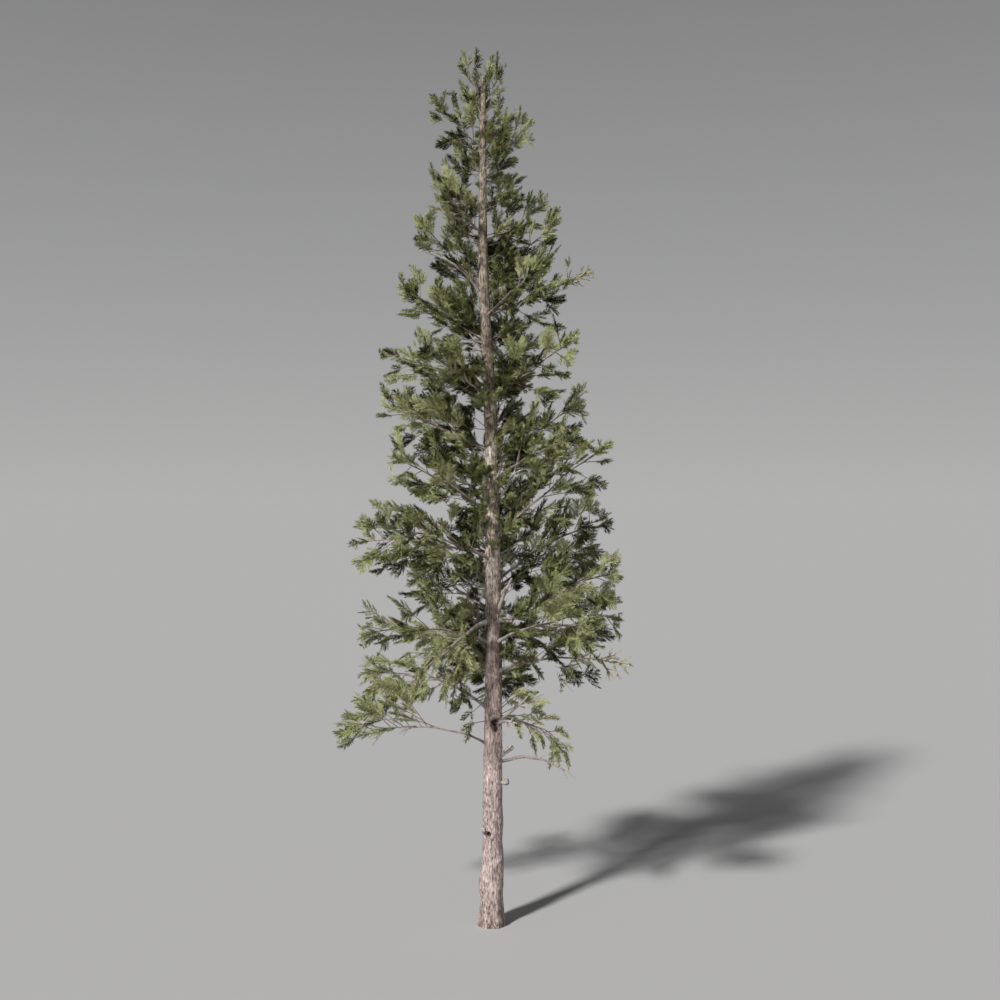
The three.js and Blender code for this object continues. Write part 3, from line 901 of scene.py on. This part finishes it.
# Wood that the photo shows bare is noted, so that no foliage hangs between it and the camera.
shown_wood = [limb_point(limbs["fan"], np.linspace(*SHOWN_ON_FAN, FAN_POINTS))]
for knot in KNOTS:
    shown_wood.append(knot["place"] + np.outer(np.linspace(0, knot["out"], KNOT_POINTS), knot["way"]))
stem_lines, limb_lines = [], []
twig_chance = np.random.default_rng(SEED)
for height, turn, length, rise, radius in STEM_TWIGS:
    root = in_trunk(height, turn, STEM_TWIG_FOOT)
    forked = forked_twig(root, outward_from_trunk(turn, rise), length, radius, twig_chance)
    stem_lines += forked
    if radius >= SHOWN_FROM:
        shown_wood.append(forked[0][0])
shown_wood = np.vstack(shown_wood)
for group in LIMB_TWIGS:
    limb = limbs[group["limb"]]
    for k in range(group["count"]):
        at = between(*group["at"], k / (group["count"] - 1))
        along = limb_direction(limb, at)
        side, rise = across(along)
        turn = k * TWIG_TURN + twig_chance.uniform(*TWIG_WANDER)
        outward = math.cos(turn) * side + math.sin(turn) * rise
        way = unit(along + group["spread"] * twig_chance.uniform(*LIMB_TWIG_SPREAD) * outward)
        length = min(twig_chance.uniform(*group["length"]), limb.length * (1 - at) + LIMB_TWIG_SPARE)
        limb_lines += forked_twig(limb_point(limb, at), way, length, group["radius"], twig_chance)
for name, lines, finish_name, tones in [
    ("bare_twigs", stem_lines, "bleached_wood", BLEACHED_TONES),
    ("bare_fans", limb_lines, "spur_wood", STRAW_TONES),
]:
    piece = sweep(name, lines, BARE_SIDES)
    keep_relief(piece, np.zeros(len(piece.data.vertices)))
    finish_piece(piece, [mottled_finish(finish_name, tones)], "dead_wood")

# Twigs and shoots: thin wood that carries the needles. Twigs leave each limb in a spiral by the rule of the
# solids, and short ones close the crown next to the stem. Each bears sprays by turns left and right, and each
# spray bears slim shoots in one plane that point forwards, like a feather.
SEED_STEP = 2654435761
WORD = 2**32
DICE_FACTOR = 1664525
DICE_STEP = 1013904223
TWIG_SPACING = 0.11
LEAST_TWIGS = 11
FIRST_TWIG = 0.4
TWIG_SHARE = 0.55
TWIG_SHORTENING = 0.65
LEAST_TWIG = 0.54
MOST_TWIG = 1.05
TIP_ROOM = 0.2
RISING_BELOW = 3.5
TWIG_ANGLE = (0.6, 1.05)
TWIG_STRETCH = (0.85, 1.2)
SPRAY_TILT = (-1.3, 1.3)
TWIG_DROOP = 0.06
TIP_SPRAY = 0.56
TIP_SPRAY_SHARE = 0.42
TIP_TILT = 0.9
INNER_FROM = 3.7
INNER_SPACING = 0.12
INNER_FIRST = 0.7
INNER_TWIG = (0.34, 0.6)
INNER_SHARE = 0.4
INNER_ANGLE = (0.9, 1.35)
STEM_SHOOTS = 6
STEM_SHOOTS_FROM = 4.5
STEM_SHOOT = (0.35, 0.7)
STEM_SHOOT_SHARE = 0.65
STEM_SHOOT_FOOT = 0.8
STEM_SHOOT_HEIGHT = (-0.12, 0.12)
STEM_SHOOT_RISE = (5, 50)
STEM_SHOOT_TURN = (-35, 215)
FRONT_SHOOTS = 4
FRONT_SHOOT_HEIGHT = (-0.4, 0.4)
FRONT_SHOOT_TURN = (-140, -40)
FRONT_SHOOT = (0.28, 0.4)
TUFTED_LIMB = "right_1"
# Tufts at the foot of that limb: height, turn, rise and length.
STEM_TUFTS = [
    (3.74, 188, -8, 0.3),
    (3.86, -8, 28, 0.85),
    (3.95, 12, 40, 0.6),
    (3.8, -24, 12, 0.7),
    (4.0, -30, 45, 0.55),
]
SPRAY_SPACING = 0.21
DENSE_ROOTS = (9.4, 11.3)
DENSE_SPACING = 0.16
LEAST_SPRAYS = 2
FIRST_SPRAY = 0.14
LAST_SPRAY = 0.85
SPRAY_STEP = (0.2, 0.8)
SPRAY_ANGLE = (0.95, 0.5)
SPRAY_WANDER = 0.12
SPRAY_LEAN = 0.4
SPRAY_FOLLOW = 0.35
FOLLOWED_AT = 0.8
SPRAY_SHARE = 0.55
SPRAY_SHORTENING = 0.45
LEAST_SPRAY = 0.28
MOST_SPRAY = 0.48
SPRAY_STRETCH = (0.8, 1.15)
SPRAY_ROLL = 0.35
END_SPRAY_FROM = 0.4
LOW_SAG = 0.14
TOP_SAG = -0.22
SAG_POWER = 0.5
HANGING = {"fan": 0.5, "right_1": 0.35}
SPARSE = {"left_1": 0.3, "left_2": 0.5, "left_3": 0.5, "right_1": 0.6, "right_2": 0.7, "fan": 0.75}
FULLNESS = [(0, 0.62), (0.45, 0.85), (0.6, 1), (0.68, 1), (0.78, 0.72), (1, 0.55)]
SHOOT_SPACING = 0.04
LEAST_SHOOTS = 4
MOST_SHOOTS = 11
FIRST_SHOOT = 0.15
LAST_SHOOT = 0.86
SHOOT_STEP = (-0.3, 0.3)
SHOOT_SHARE = 0.46
TOP_NARROWING = 0.55
HANGING_SHOOT_SHARE = 0.22
SHOOT_ANGLE = (0.75, 0.42)
SHOOT_WANDER = 0.1
SHOOT_LEAN = 0.2
SHOOT_STRETCH = (0.8, 1.2)
SHOOT_ROUNDING = 0.6
SHOOT_SWELL = (-0.2, 0.25)
LEAST_SHOOT = 0.03
LOOK_AHEAD = 0.05
BARE_SPRAY_FOOT = 0.2
TWIG_RADIUS = 0.0095
TWIG_TIP_SHARE = 0.4
TWIG_WOOD_TO = 0.9
TWIG_ROWS = 4
SPRAY_RADIUS = 0.0042
SPRAY_TIP_SHARE = 0.7
SPRAY_WOOD = [(0.0, 0.5), (0.5, 0.95)]
SHOOT_RADIUS = 0.003
ROD_SIDES = 3
NO_SHOOT_WAY = np.array([0.31, 0.17, 0.94])
TRUNK_CLEAR = 0.03
STEM_EDGE = (0.65, 1.15)
CROSSED = [(7, 8.5), (8.8, 9.9)]
CROSSING_SHARE = 0.5
SELDOM_CROSSED = 5.2
SELDOM_SHARE = 0.15
SHOWN_CLEAR = 0.05
REACH_SPARE = 0.05
TIP_SPARE = 0.08
LOWEST = {"right_2": 4.5, "right_3": 5.1, "left_2": 3.7, "left_3": 5.2}
HIGHEST = {"left_2": 4.84, "right_6": 8.85, "left_7": 10.6, "left_11": 15.1}
TWIG_ROUGHNESS = 0.85
LEAF_GLOSS = 0.12
TWIG_AGES = [
    ("old_twigs", (0.25, 0.2, 0.165)),
    ("spray_twigs", (0.29, 0.235, 0.16)),
    ("young_shoots", (0.37, 0.32, 0.18)),
]


def dice_for(seed):
    """Repeatable chance, the same run for each limb as in the solids."""
    state = seed * SEED_STEP % WORD

    def dice(low, high):
        nonlocal state
        state = (state * DICE_FACTOR + DICE_STEP) % WORD
        return between(low, high, state / WORD)

    return dice


def make_twig(start, direction, length, tilt, at):
    side, rise = across(direction)
    face = rise * math.cos(tilt) + side * math.sin(tilt)
    wide = np.cross(direction, face)
    return SimpleNamespace(
        start=start, direction=direction, length=length, face=face, wide=wide, at=at, lit=False)


def twigs_of(limb):
    """The twigs of a limb's outer part, in a spiral, and the one that runs on to its tip."""
    dice = dice_for(limb.seed)
    rising = limb.root < RISING_BELOW and limb.lift >= 0
    count = max(LEAST_TWIGS, math.floor(limb.length * (1 - limb.bare) / TWIG_SPACING + HALF_STEP))
    twigs = []
    for k in range(count):
        at = between(limb.bare, 1, (k + FIRST_TWIG) / count)
        along = limb_direction(limb, at)
        side, rise = across(along)
        angle = dice(*TWIG_ANGLE)
        turn = k * TWIG_TURN + dice(*TWIG_WANDER)
        stretch = dice(*TWIG_STRETCH)
        tilt = dice(*SPRAY_TILT)
        upward = abs(math.sin(turn)) if rising else math.sin(turn)
        outward = side * math.cos(turn) + rise * upward
        direction = unit(along * math.cos(angle) + outward * math.sin(angle))
        room = limb.length * (1 - at) + TIP_ROOM
        length = np.clip(limb.length * TWIG_SHARE * (1 - TWIG_SHORTENING * at), LEAST_TWIG, MOST_TWIG)
        twigs.append(make_twig(limb_point(limb, at), direction, float(min(length * stretch, room)), tilt, at))
    start = limb_point(limb, 1 - min(TIP_SPRAY / limb.length, TIP_SPRAY_SHARE))
    reach = limb.tip - start
    twigs.append(make_twig(start, unit(reach), float(np.linalg.norm(reach)), TIP_TILT, 1))
    return twigs


def crosses_stem(heights):
    """True at heights where the photo shows foliage in front of the stem."""
    heights = np.asarray(heights)
    return sum((heights > low) & (heights < high) for low, high in CROSSED) > 0


def inner_twigs_of(limb, chance):
    """Short twigs next to the stem: on the limb's inner part, and on the stem round the limb's foot."""
    twigs = []
    if limb.root < INNER_FROM:
        return twigs
    first = float(trunk_radius(limb.root)) / limb.length
    for k in range(round((limb.bare - first) * limb.length / INNER_SPACING)):
        at = first + (k + INNER_FIRST) * INNER_SPACING / limb.length
        along = limb_direction(limb, at)
        side, rise = across(along)
        turn = k * TWIG_TURN + chance.uniform(0, 2 * np.pi)
        angle = chance.uniform(*INNER_ANGLE)
        outward = side * math.cos(turn) + rise * math.sin(turn)
        direction = unit(along * math.cos(angle) + outward * math.sin(angle))
        length = min(chance.uniform(*INNER_TWIG), INNER_SHARE * limb.length)
        twigs.append(make_twig(limb_point(limb, at), direction, length, chance.uniform(*SPRAY_TILT), at))
    kinds = []
    if limb.root > STEM_SHOOTS_FROM:
        kinds.append((STEM_SHOOTS, STEM_SHOOT_HEIGHT, STEM_SHOOT_TURN, STEM_SHOOT))
    if crosses_stem(limb.root):
        kinds.append((FRONT_SHOOTS, FRONT_SHOOT_HEIGHT, FRONT_SHOOT_TURN, FRONT_SHOOT))
    places = []
    for count, *ranges in kinds:
        for _ in range(count):
            height = limb.root + chance.uniform(*ranges[0])
            turn = chance.uniform(*ranges[1])
            places.append((height, turn, chance.uniform(*STEM_SHOOT_RISE), chance.uniform(*ranges[2])))
    if limb.name == TUFTED_LIMB:
        places += STEM_TUFTS
    for height, turn, rise, length in places:
        start = in_trunk(height, turn, STEM_SHOOT_FOOT)
        length = min(length, STEM_SHOOT_SHARE * limb.length) + float(trunk_radius(height))
        twig = make_twig(start, outward_from_trunk(turn, rise), length, chance.uniform(*SPRAY_TILT), 0)
        # Shoots in front of the stem are marked lit, and are dealt the fresh tint as painted sunlight.
        twig.lit = turn < STEM_SHOOT_TURN[0]
        twigs.append(twig)
    return twigs


def twig_point(twig, at):
    at = np.asarray(at, float)[..., None]
    return twig.start + twig.length * (at * twig.direction - TWIG_DROOP * at**2 * twig.face)


def narrowing(limb):
    """How much slimmer the sprays are towards the top of the tree."""
    return between(1, TOP_NARROWING, limb.share**2)


def sprays_of(twig, limb, chance):
    """The sprays of one twig as arrays: side sprays by turns left and right, then the twig's own end."""
    spacing = DENSE_SPACING if DENSE_ROOTS[0] < limb.root < DENSE_ROOTS[1] else SPRAY_SPACING
    count = max(LEAST_SPRAYS, round(twig.length * (LAST_SPRAY - FIRST_SPRAY) / spacing))
    at = between(FIRST_SPRAY, LAST_SPRAY, (np.arange(count) + chance.uniform(*SPRAY_STEP, count)) / count)
    way = np.where((np.arange(count) + chance.integers(2)) % 2, 1.0, -1.0)[:, None]
    angle = (narrowing(limb) * between(*SPRAY_ANGLE, at) + chance.normal(0, SPRAY_WANDER, count))[:, None]
    lean = chance.normal(0, SPRAY_LEAN, count)[:, None]
    direction = np.cos(angle) * twig.direction + np.sin(angle) * (way * twig.wide + lean * twig.face)
    direction = direction + SPRAY_FOLLOW * limb_direction(limb, FOLLOWED_AT)
    length = np.clip(SPRAY_SHARE * twig.length * (1 - SPRAY_SHORTENING * at), LEAST_SPRAY, MOST_SPRAY)
    length = length * chance.uniform(*SPRAY_STRETCH, count)
    end = twig_point(twig, 1.0) - twig_point(twig, END_SPRAY_FROM)
    starts = np.vstack([twig_point(twig, at), twig_point(twig, END_SPRAY_FROM)])
    directions = unit(np.vstack([direction, end]))
    faces = twig.face + chance.normal(0, SPRAY_ROLL, (count + 1, 3))
    faces = unit(faces - directions * (faces * directions).sum(axis=1, keepdims=True))
    return starts, directions, np.append(length, np.linalg.norm(end)), faces


def spray_point(sprays, own, at, sag):
    at = np.asarray(at)[:, None]
    starts, directions, lengths, _ = sprays
    return starts[own] + lengths[own, None] * (at * directions[own] - sag * at**2 * UP)


def deal_out(counts):
    """For things in rows of these counts: the row that each belongs to, and its number in the row."""
    own = np.repeat(np.arange(len(counts)), counts)
    return own, np.arange(len(own)) - np.repeat(np.cumsum(counts) - counts, counts)


def shoots_of(sprays, sag, shoot_share, chance):
    """The shoots of many sprays: side shoots that shorten towards the tip, then each spray's outer part."""
    lengths, faces = sprays[2], sprays[3]
    counts = np.clip(np.round(lengths / SHOOT_SPACING), LEAST_SHOOTS, MOST_SHOOTS).astype(int)
    own, step = deal_out(counts)
    at = (step + chance.uniform(*SHOOT_STEP, len(own))) / (counts[own] - 1)
    at = np.clip(between(FIRST_SHOOT, LAST_SHOOT, at), FIRST_SHOOT, LAST_SHOOT)
    way = np.where(step % 2, 1.0, -1.0)[:, None]
    angle = (between(*SHOOT_ANGLE, at) + chance.normal(0, SHOOT_WANDER, len(own)))[:, None]
    lean = chance.normal(0, SHOOT_LEAN, len(own))[:, None]
    starts = spray_point(sprays, own, at, sag)
    along = unit(spray_point(sprays, own, at + LOOK_AHEAD, sag) - starts)
    wide = np.cross(along, faces[own])
    direction = unit(np.cos(angle) * along + np.sin(angle) * (way * wide + lean * faces[own]))
    shape = shoot_share * (1 - at) ** SHOOT_ROUNDING * eased(at, *SHOOT_SWELL)
    length = lengths[own] * shape * chance.uniform(*SHOOT_STRETCH, len(own)) + LEAST_SHOOT
    every = np.arange(len(lengths))
    feet = spray_point(sprays, every, np.full(len(every), BARE_SPRAY_FOOT), sag)
    tips = spray_point(sprays, every, np.ones(len(every)), sag)
    ends = np.vstack([starts + direction * length[:, None], tips])
    return np.vstack([starts, feet]), ends, np.concatenate([own, every])


def clear_of_trunk(points):
    axis = trunk_axis(points[:, 2])
    apart = np.linalg.norm((points - axis)[:, :2], axis=1)
    return apart > trunk_radius(points[:, 2]) + TRUNK_CLEAR


def leaves_stem_open(points, chance):
    """True where a shoot leaves the stem open to the front, or is one of those that cross it."""
    axis = trunk_axis(points[:, 2])
    before = points[:, 1] < axis[:, 1]
    edge = trunk_radius(points[:, 2]) * chance.uniform(*STEM_EDGE, len(points)) + TRUNK_CLEAR
    beside = np.abs(points[:, 0] - axis[:, 0]) > edge
    seldom = SELDOM_SHARE * (points[:, 2] > SELDOM_CROSSED)
    share = np.where(crosses_stem(points[:, 2]), CROSSING_SHARE, seldom)
    return ~before | beside | (chance.uniform(0, 1, len(points)) < share)


def seen_from_camera(points):
    """Where points stand in the picture, as slopes sideways and upwards."""
    away = points - np.array(CAMERA_PLACE)
    return away[:, [0, 2]] / away[:, 1:2]


def hides_bare_wood(points):
    """True where a shoot would hang between the camera and wood that the photo shows bare."""
    gaps = seen_from_camera(points)[:, None] - seen_from_camera(shown_wood)[None]
    near = np.linalg.norm(gaps, axis=2) < SHOWN_CLEAR / abs(CAMERA_PLACE[1])
    before = points[:, None, 1] < shown_wood[None, :, 1]
    return (near & before).any(axis=1)


def inside_reach(points, limb):
    """True where a shoot keeps to the reach of its limb and of the crown, and off the open sky round it."""
    low = np.array(cad_low) - REACH_SPARE
    high = np.array(cad_high) + REACH_SPARE
    low[2] = LOWEST.get(limb.name, low[2])
    high[2] = HIGHEST.get(limb.name, high[2])
    leafy = BARE_ENDS.get(limb.name, 1)
    out = np.linalg.norm((points - limb.start)[:, :2], axis=1)
    near = out < leafy * limb.length + TIP_SPARE
    if limb.name.startswith(("left", "right")):
        sideways = np.abs(points[:, 0] - limb.start[0])
        near &= sideways < leafy * abs(limb.tip[0] - limb.start[0]) + TIP_SPARE
    return ((points > low) & (points < high)).all(axis=1) & near


def mesh_from_arrays(name, corners, faces, tints):
    """One joined piece from arrays of corners and triangles, each triangle with the number of its tint."""
    mesh = bpy.data.meshes.new(name)
    mesh.vertices.add(len(corners))
    mesh.vertices.foreach_set("co", corners.astype(np.float32).ravel())
    mesh.loops.add(faces.size)
    mesh.loops.foreach_set("vertex_index", faces.astype(np.int32).ravel())
    mesh.polygons.add(len(faces))
    mesh.polygons.foreach_set("loop_start", np.arange(0, faces.size, 3, dtype=np.int32))
    mesh.polygons.foreach_set("material_index", tints.astype(np.int32))
    mesh.update(calc_edges=True)
    mesh.validate()
    piece = bpy.data.objects.new(name, mesh)
    bpy.context.scene.collection.objects.link(piece)
    return piece


def repeat_faces(faces, corners, count):
    """The faces of one small thing, for a row of such things with so many corners each."""
    return (np.array(faces)[None] + corners * np.arange(count)[:, None, None]).reshape(-1, 3)


def ring_round(starts, ends):
    """The directions of a rod's edges round its line, set out from a direction that no shoot takes."""
    along = unit(ends - starts)
    side = unit(np.cross(along, NO_SHOOT_WAY))
    rise = np.cross(side, along)
    turns = -2 * np.pi * np.arange(ROD_SIDES) / ROD_SIDES
    return np.cos(turns)[None, :, None] * side[:, None] + np.sin(turns)[None, :, None] * rise[:, None]


ring_edges = [(k, (k + 1) % ROD_SIDES) for k in range(ROD_SIDES)]


def rods(starts, ends, start_radii, end_radii):
    """Three-sided tapering rods, six triangles each."""
    ring = ring_round(starts, ends)
    low = starts[:, None] + ring * start_radii[:, None, None]
    high = ends[:, None] + ring * end_radii[:, None, None]
    corners = np.concatenate([low, high], axis=1).reshape(-1, 3)
    sides = [(a, b, ROD_SIDES + a) for a, b in ring_edges]
    sides += [(b, ROD_SIDES + b, ROD_SIDES + a) for a, b in ring_edges]
    return corners, repeat_faces(sides, 2 * ROD_SIDES, len(starts))


def spikes(starts, ends, radius):
    """Three-sided shoots that run out to a point, three triangles each."""
    ring = starts[:, None] + ring_round(starts, ends) * radius
    corners = np.concatenate([ring, ends[:, None]], axis=1).reshape(-1, 3)
    sides = [(a, b, ROD_SIDES) for a, b in ring_edges]
    return corners, repeat_faces(sides, ROD_SIDES + 1, len(starts))


age_finishes = [plain_finish(name, colour, TWIG_ROUGHNESS, LEAF_GLOSS) for name, colour in TWIG_AGES]

# Needles: soft flat blades with blunt tips, a little twisted, that stand forwards along the shoots, pressed
# towards the plane of the spray. They are dealt tints of green shoot by shoot, stepped darker inside and
# below and lighter outside and above as painted shade and painted sunlight. Each limb's needles and twigs
# stand for one mass, and neighbouring masses are joined into tiers.
NEEDLE_STEP = 0.0095
LEAST_NEEDLES = 3
NEEDLE_LENGTH = 0.072
NEEDLE_STRETCH = (0.75, 1.15)
NEEDLE_SHORTENING = 0.25
NEEDLE_WIDTH = 0.014
NEEDLE_FOOT = 0.75
NEEDLE_TIP = 0.35
NEEDLE_TWIST = 0.6
NEEDLE_ROLL = 0.5
NEEDLE_FLATNESS = 0.5
NEEDLE_TURN = (-0.5, 0.5)
NEEDLE_ANGLE = (0.72, 0.22)
NEEDLE_ANGLE_POWER = 1.5
NEEDLE_WANDER = 0.12
NEEDLE_FACES = [(0, 1, 2), (0, 2, 3)]
NEEDLE_CORNERS = 4
NEEDLE_ROUGHNESS = 0.65
# The darkest tints are partly the needles' own deep green and partly painted shade inside the crown, and the
# palest is painted sunlight.
NEEDLE_TINTS = [
    ("needles_deep", (0.017, 0.021, 0.006)),
    ("needles_dark", (0.07, 0.081, 0.024)),
    ("needles_green", (0.16, 0.183, 0.06)),
    ("needles_olive", (0.26, 0.274, 0.11)),
    ("needles_fresh", (0.335, 0.39, 0.15)),
    ("needles_sunned", (0.43, 0.445, 0.23)),
]
TINT_WEIGHTS = [0.12, 0.2, 0.24, 0.21, 0.16, 0.07]
FRESH_AND_LIT_TINT = 4
SHOOT_SHIFTS = (-2, 3)
# Painted light and shade of the sprays, in tint steps by how far out and how high they sit on their limb.
OUTER_LIGHT = 2.4
LIT_FROM = 0.6
UPPER_LIGHT = 2
MOST_TRIANGLES = 190000


def needles_on(starts, ends, faces_up, tints, chance):
    lengths = np.linalg.norm(ends - starts, axis=1)
    counts = LEAST_NEEDLES + np.round(lengths / NEEDLE_STEP).astype(int)
    own, step = deal_out(counts)
    total = len(own)
    at = (step + chance.uniform(0, 1, total)) / counts[own]
    along = unit(ends - starts)[own]
    wide = unit(np.cross(along, faces_up[own]))
    face = np.cross(wide, along)
    turn = step * TWIG_TURN + chance.uniform(*NEEDLE_TURN, total)
    outward = unit(np.cos(turn)[:, None] * wide + NEEDLE_FLATNESS * np.sin(turn)[:, None] * face)
    angle = between(*NEEDLE_ANGLE, at**NEEDLE_ANGLE_POWER) + chance.normal(0, NEEDLE_WANDER, total)
    direction = np.cos(angle)[:, None] * along + np.sin(angle)[:, None] * outward
    length = NEEDLE_LENGTH * chance.uniform(*NEEDLE_STRETCH, total) * (1 - NEEDLE_SHORTENING * at)
    base = starts[own] + (ends - starts)[own] * at[:, None]
    roll = unit(face + chance.normal(0, NEEDLE_ROLL, (total, 3)))
    side = unit(np.cross(direction, roll)) * (NEEDLE_WIDTH / 2)
    turned = side * math.cos(NEEDLE_TWIST) + np.cross(direction, side) * math.sin(NEEDLE_TWIST)
    tip = base + direction * length[:, None]
    foot, point = NEEDLE_FOOT * side, NEEDLE_TIP * turned
    corners = np.stack([base - foot, base + foot, tip + point, tip - point], axis=1)
    triangles = repeat_faces(NEEDLE_FACES, NEEDLE_CORNERS, total)
    return corners.reshape(-1, 3), triangles, np.repeat(tints[own], len(NEEDLE_FACES))


def join(parts):
    corners, faces, tints, count = [], [], [], 0
    for part_corners, part_faces, part_tints in parts:
        corners.append(part_corners)
        faces.append(part_faces + count)
        tints.append(np.broadcast_to(part_tints, len(part_faces)))
        count += len(part_corners)
    return np.concatenate(corners), np.concatenate(faces), np.concatenate(tints)


def stack(rows):
    return [np.concatenate(column) for column in zip(*rows)]


def painted_light_and_shade_steps(sprays, limb):
    """Painted light and shade: how many tints lighter the outer and upper sprays of a limb are, or darker the
    inner and lower ones.
    """
    starts, directions, lengths, _ = sprays
    tips = starts + directions * lengths[:, None]
    out = np.linalg.norm((tips - limb.start)[:, :2], axis=1) / limb.length
    above = (tips - limb_point(limb, np.clip(out, 0, 1)))[:, 2]
    return OUTER_LIGHT * (out - LIT_FROM) + UPPER_LIGHT * above


def grow(limb):
    """Grows the twigs, sprays, shoots and needles of one limb's mass."""
    chance = np.random.default_rng(limb.seed)
    sag = HANGING.get(limb.name, between(LOW_SAG, TOP_SAG, limb.share**SAG_POWER))
    shoot_share = HANGING_SHOOT_SHARE if limb.name in HANGING else SHOOT_SHARE * narrowing(limb)
    fullness = SPARSE.get(limb.name, np.interp(limb.share, *zip(*FULLNESS)))
    twigs = [twig for twig in twigs_of(limb) if twig.at <= BARE_ENDS.get(limb.name, 1)]
    twig_thickness = TWIG_RADIUS * between(1, TWIG_TIP_SHARE, np.linspace(0, 1, TWIG_ROWS))
    sprays, tints, twig_rods, spray_rods = [], [], [], []
    for twig in twigs + inner_twigs_of(limb, chance):
        own_sprays = sprays_of(twig, limb, chance)
        kept = chance.uniform(0, 1, len(own_sprays[0])) < fullness
        kept[-1] = True
        sprays.append([values[kept] for values in own_sprays])
        # The fresh tint is painted sunlight on lit shoots, and is given to all the shoots of the hanging
        # limbs.
        lit_or_hanging = twig.lit or limb.name in HANGING
        tint = FRESH_AND_LIT_TINT if lit_or_hanging else chance.choice(len(NEEDLE_TINTS), p=TINT_WEIGHTS)
        tints.append(tint + painted_light_and_shade_steps(sprays[-1], limb))
        line = twig_point(twig, np.linspace(0, TWIG_WOOD_TO, TWIG_ROWS))
        if inside_reach(line[-1:], limb)[0]:
            twig_rods.append((line[:-1], line[1:], twig_thickness[:-1], twig_thickness[1:]))
    sprays = stack(sprays)
    tints = np.concatenate(tints)
    starts, ends, own = shoots_of(sprays, sag, shoot_share, chance)
    tip_shoots = np.arange(len(own)) >= len(own) - len(sprays[0])
    kept = clear_of_trunk(starts) & clear_of_trunk(ends) & inside_reach(ends, limb)
    kept &= leaves_stem_open(ends, chance)
    kept &= ~hides_bare_wood(ends) & ~hides_bare_wood((starts + ends) / 2)
    starts, ends, own, tip_shoots = starts[kept], ends[kept], own[kept], tip_shoots[kept]
    used = np.unique(own)
    for low, high in SPRAY_WOOD:
        feet = spray_point(sprays, used, np.full(len(used), low), sag)
        tops = spray_point(sprays, used, np.full(len(used), high), sag)
        thick = np.full(len(used), SPRAY_RADIUS)
        spray_rods.append((feet, tops, thick, SPRAY_TIP_SHARE * thick))
        used = used[np.isin(used, own[tip_shoots])]
    tints = np.round(tints[own] + chance.integers(*SHOOT_SHIFTS, len(own)))
    tints = np.clip(tints, 0, len(NEEDLE_TINTS) - 1)
    needles = needles_on(starts, ends, sprays[3][own], tints, chance)
    by_age = [rods(*stack(twig_rods)), rods(*stack(spray_rods)), spikes(starts, ends, SHOOT_RADIUS)]
    wood = join([(corners, faces, age) for age, (corners, faces) in enumerate(by_age)])
    return SimpleNamespace(name=f"foliage_{limb.name}", needles=needles, wood=wood)


tint_finishes = [plain_finish(name, colour, NEEDLE_ROUGHNESS, LEAF_GLOSS) for name, colour in NEEDLE_TINTS]
masses = [grow(limb) for limb in sorted(limbs.values(), key=lambda limb: limb.root)]
tiers = [[]]
for mass in masses:
    if sum(len(m.needles[1]) for m in tiers[-1]) + len(mass.needles[1]) > MOST_TRIANGLES:
        tiers.append([])
    tiers[-1].append(mass)
for number, tier in enumerate(tiers, 1):
    nodes = [mass.name for mass in tier]
    needles = mesh_from_arrays(f"needles_{number}", *join([mass.needles for mass in tier]))
    finish_piece(needles, tint_finishes, "needles", *nodes)
    twigs = mesh_from_arrays(f"twigs_{number}", *join([mass.wood for mass in tier]))
    finish_piece(twigs, age_finishes, "bough_bark", *nodes)
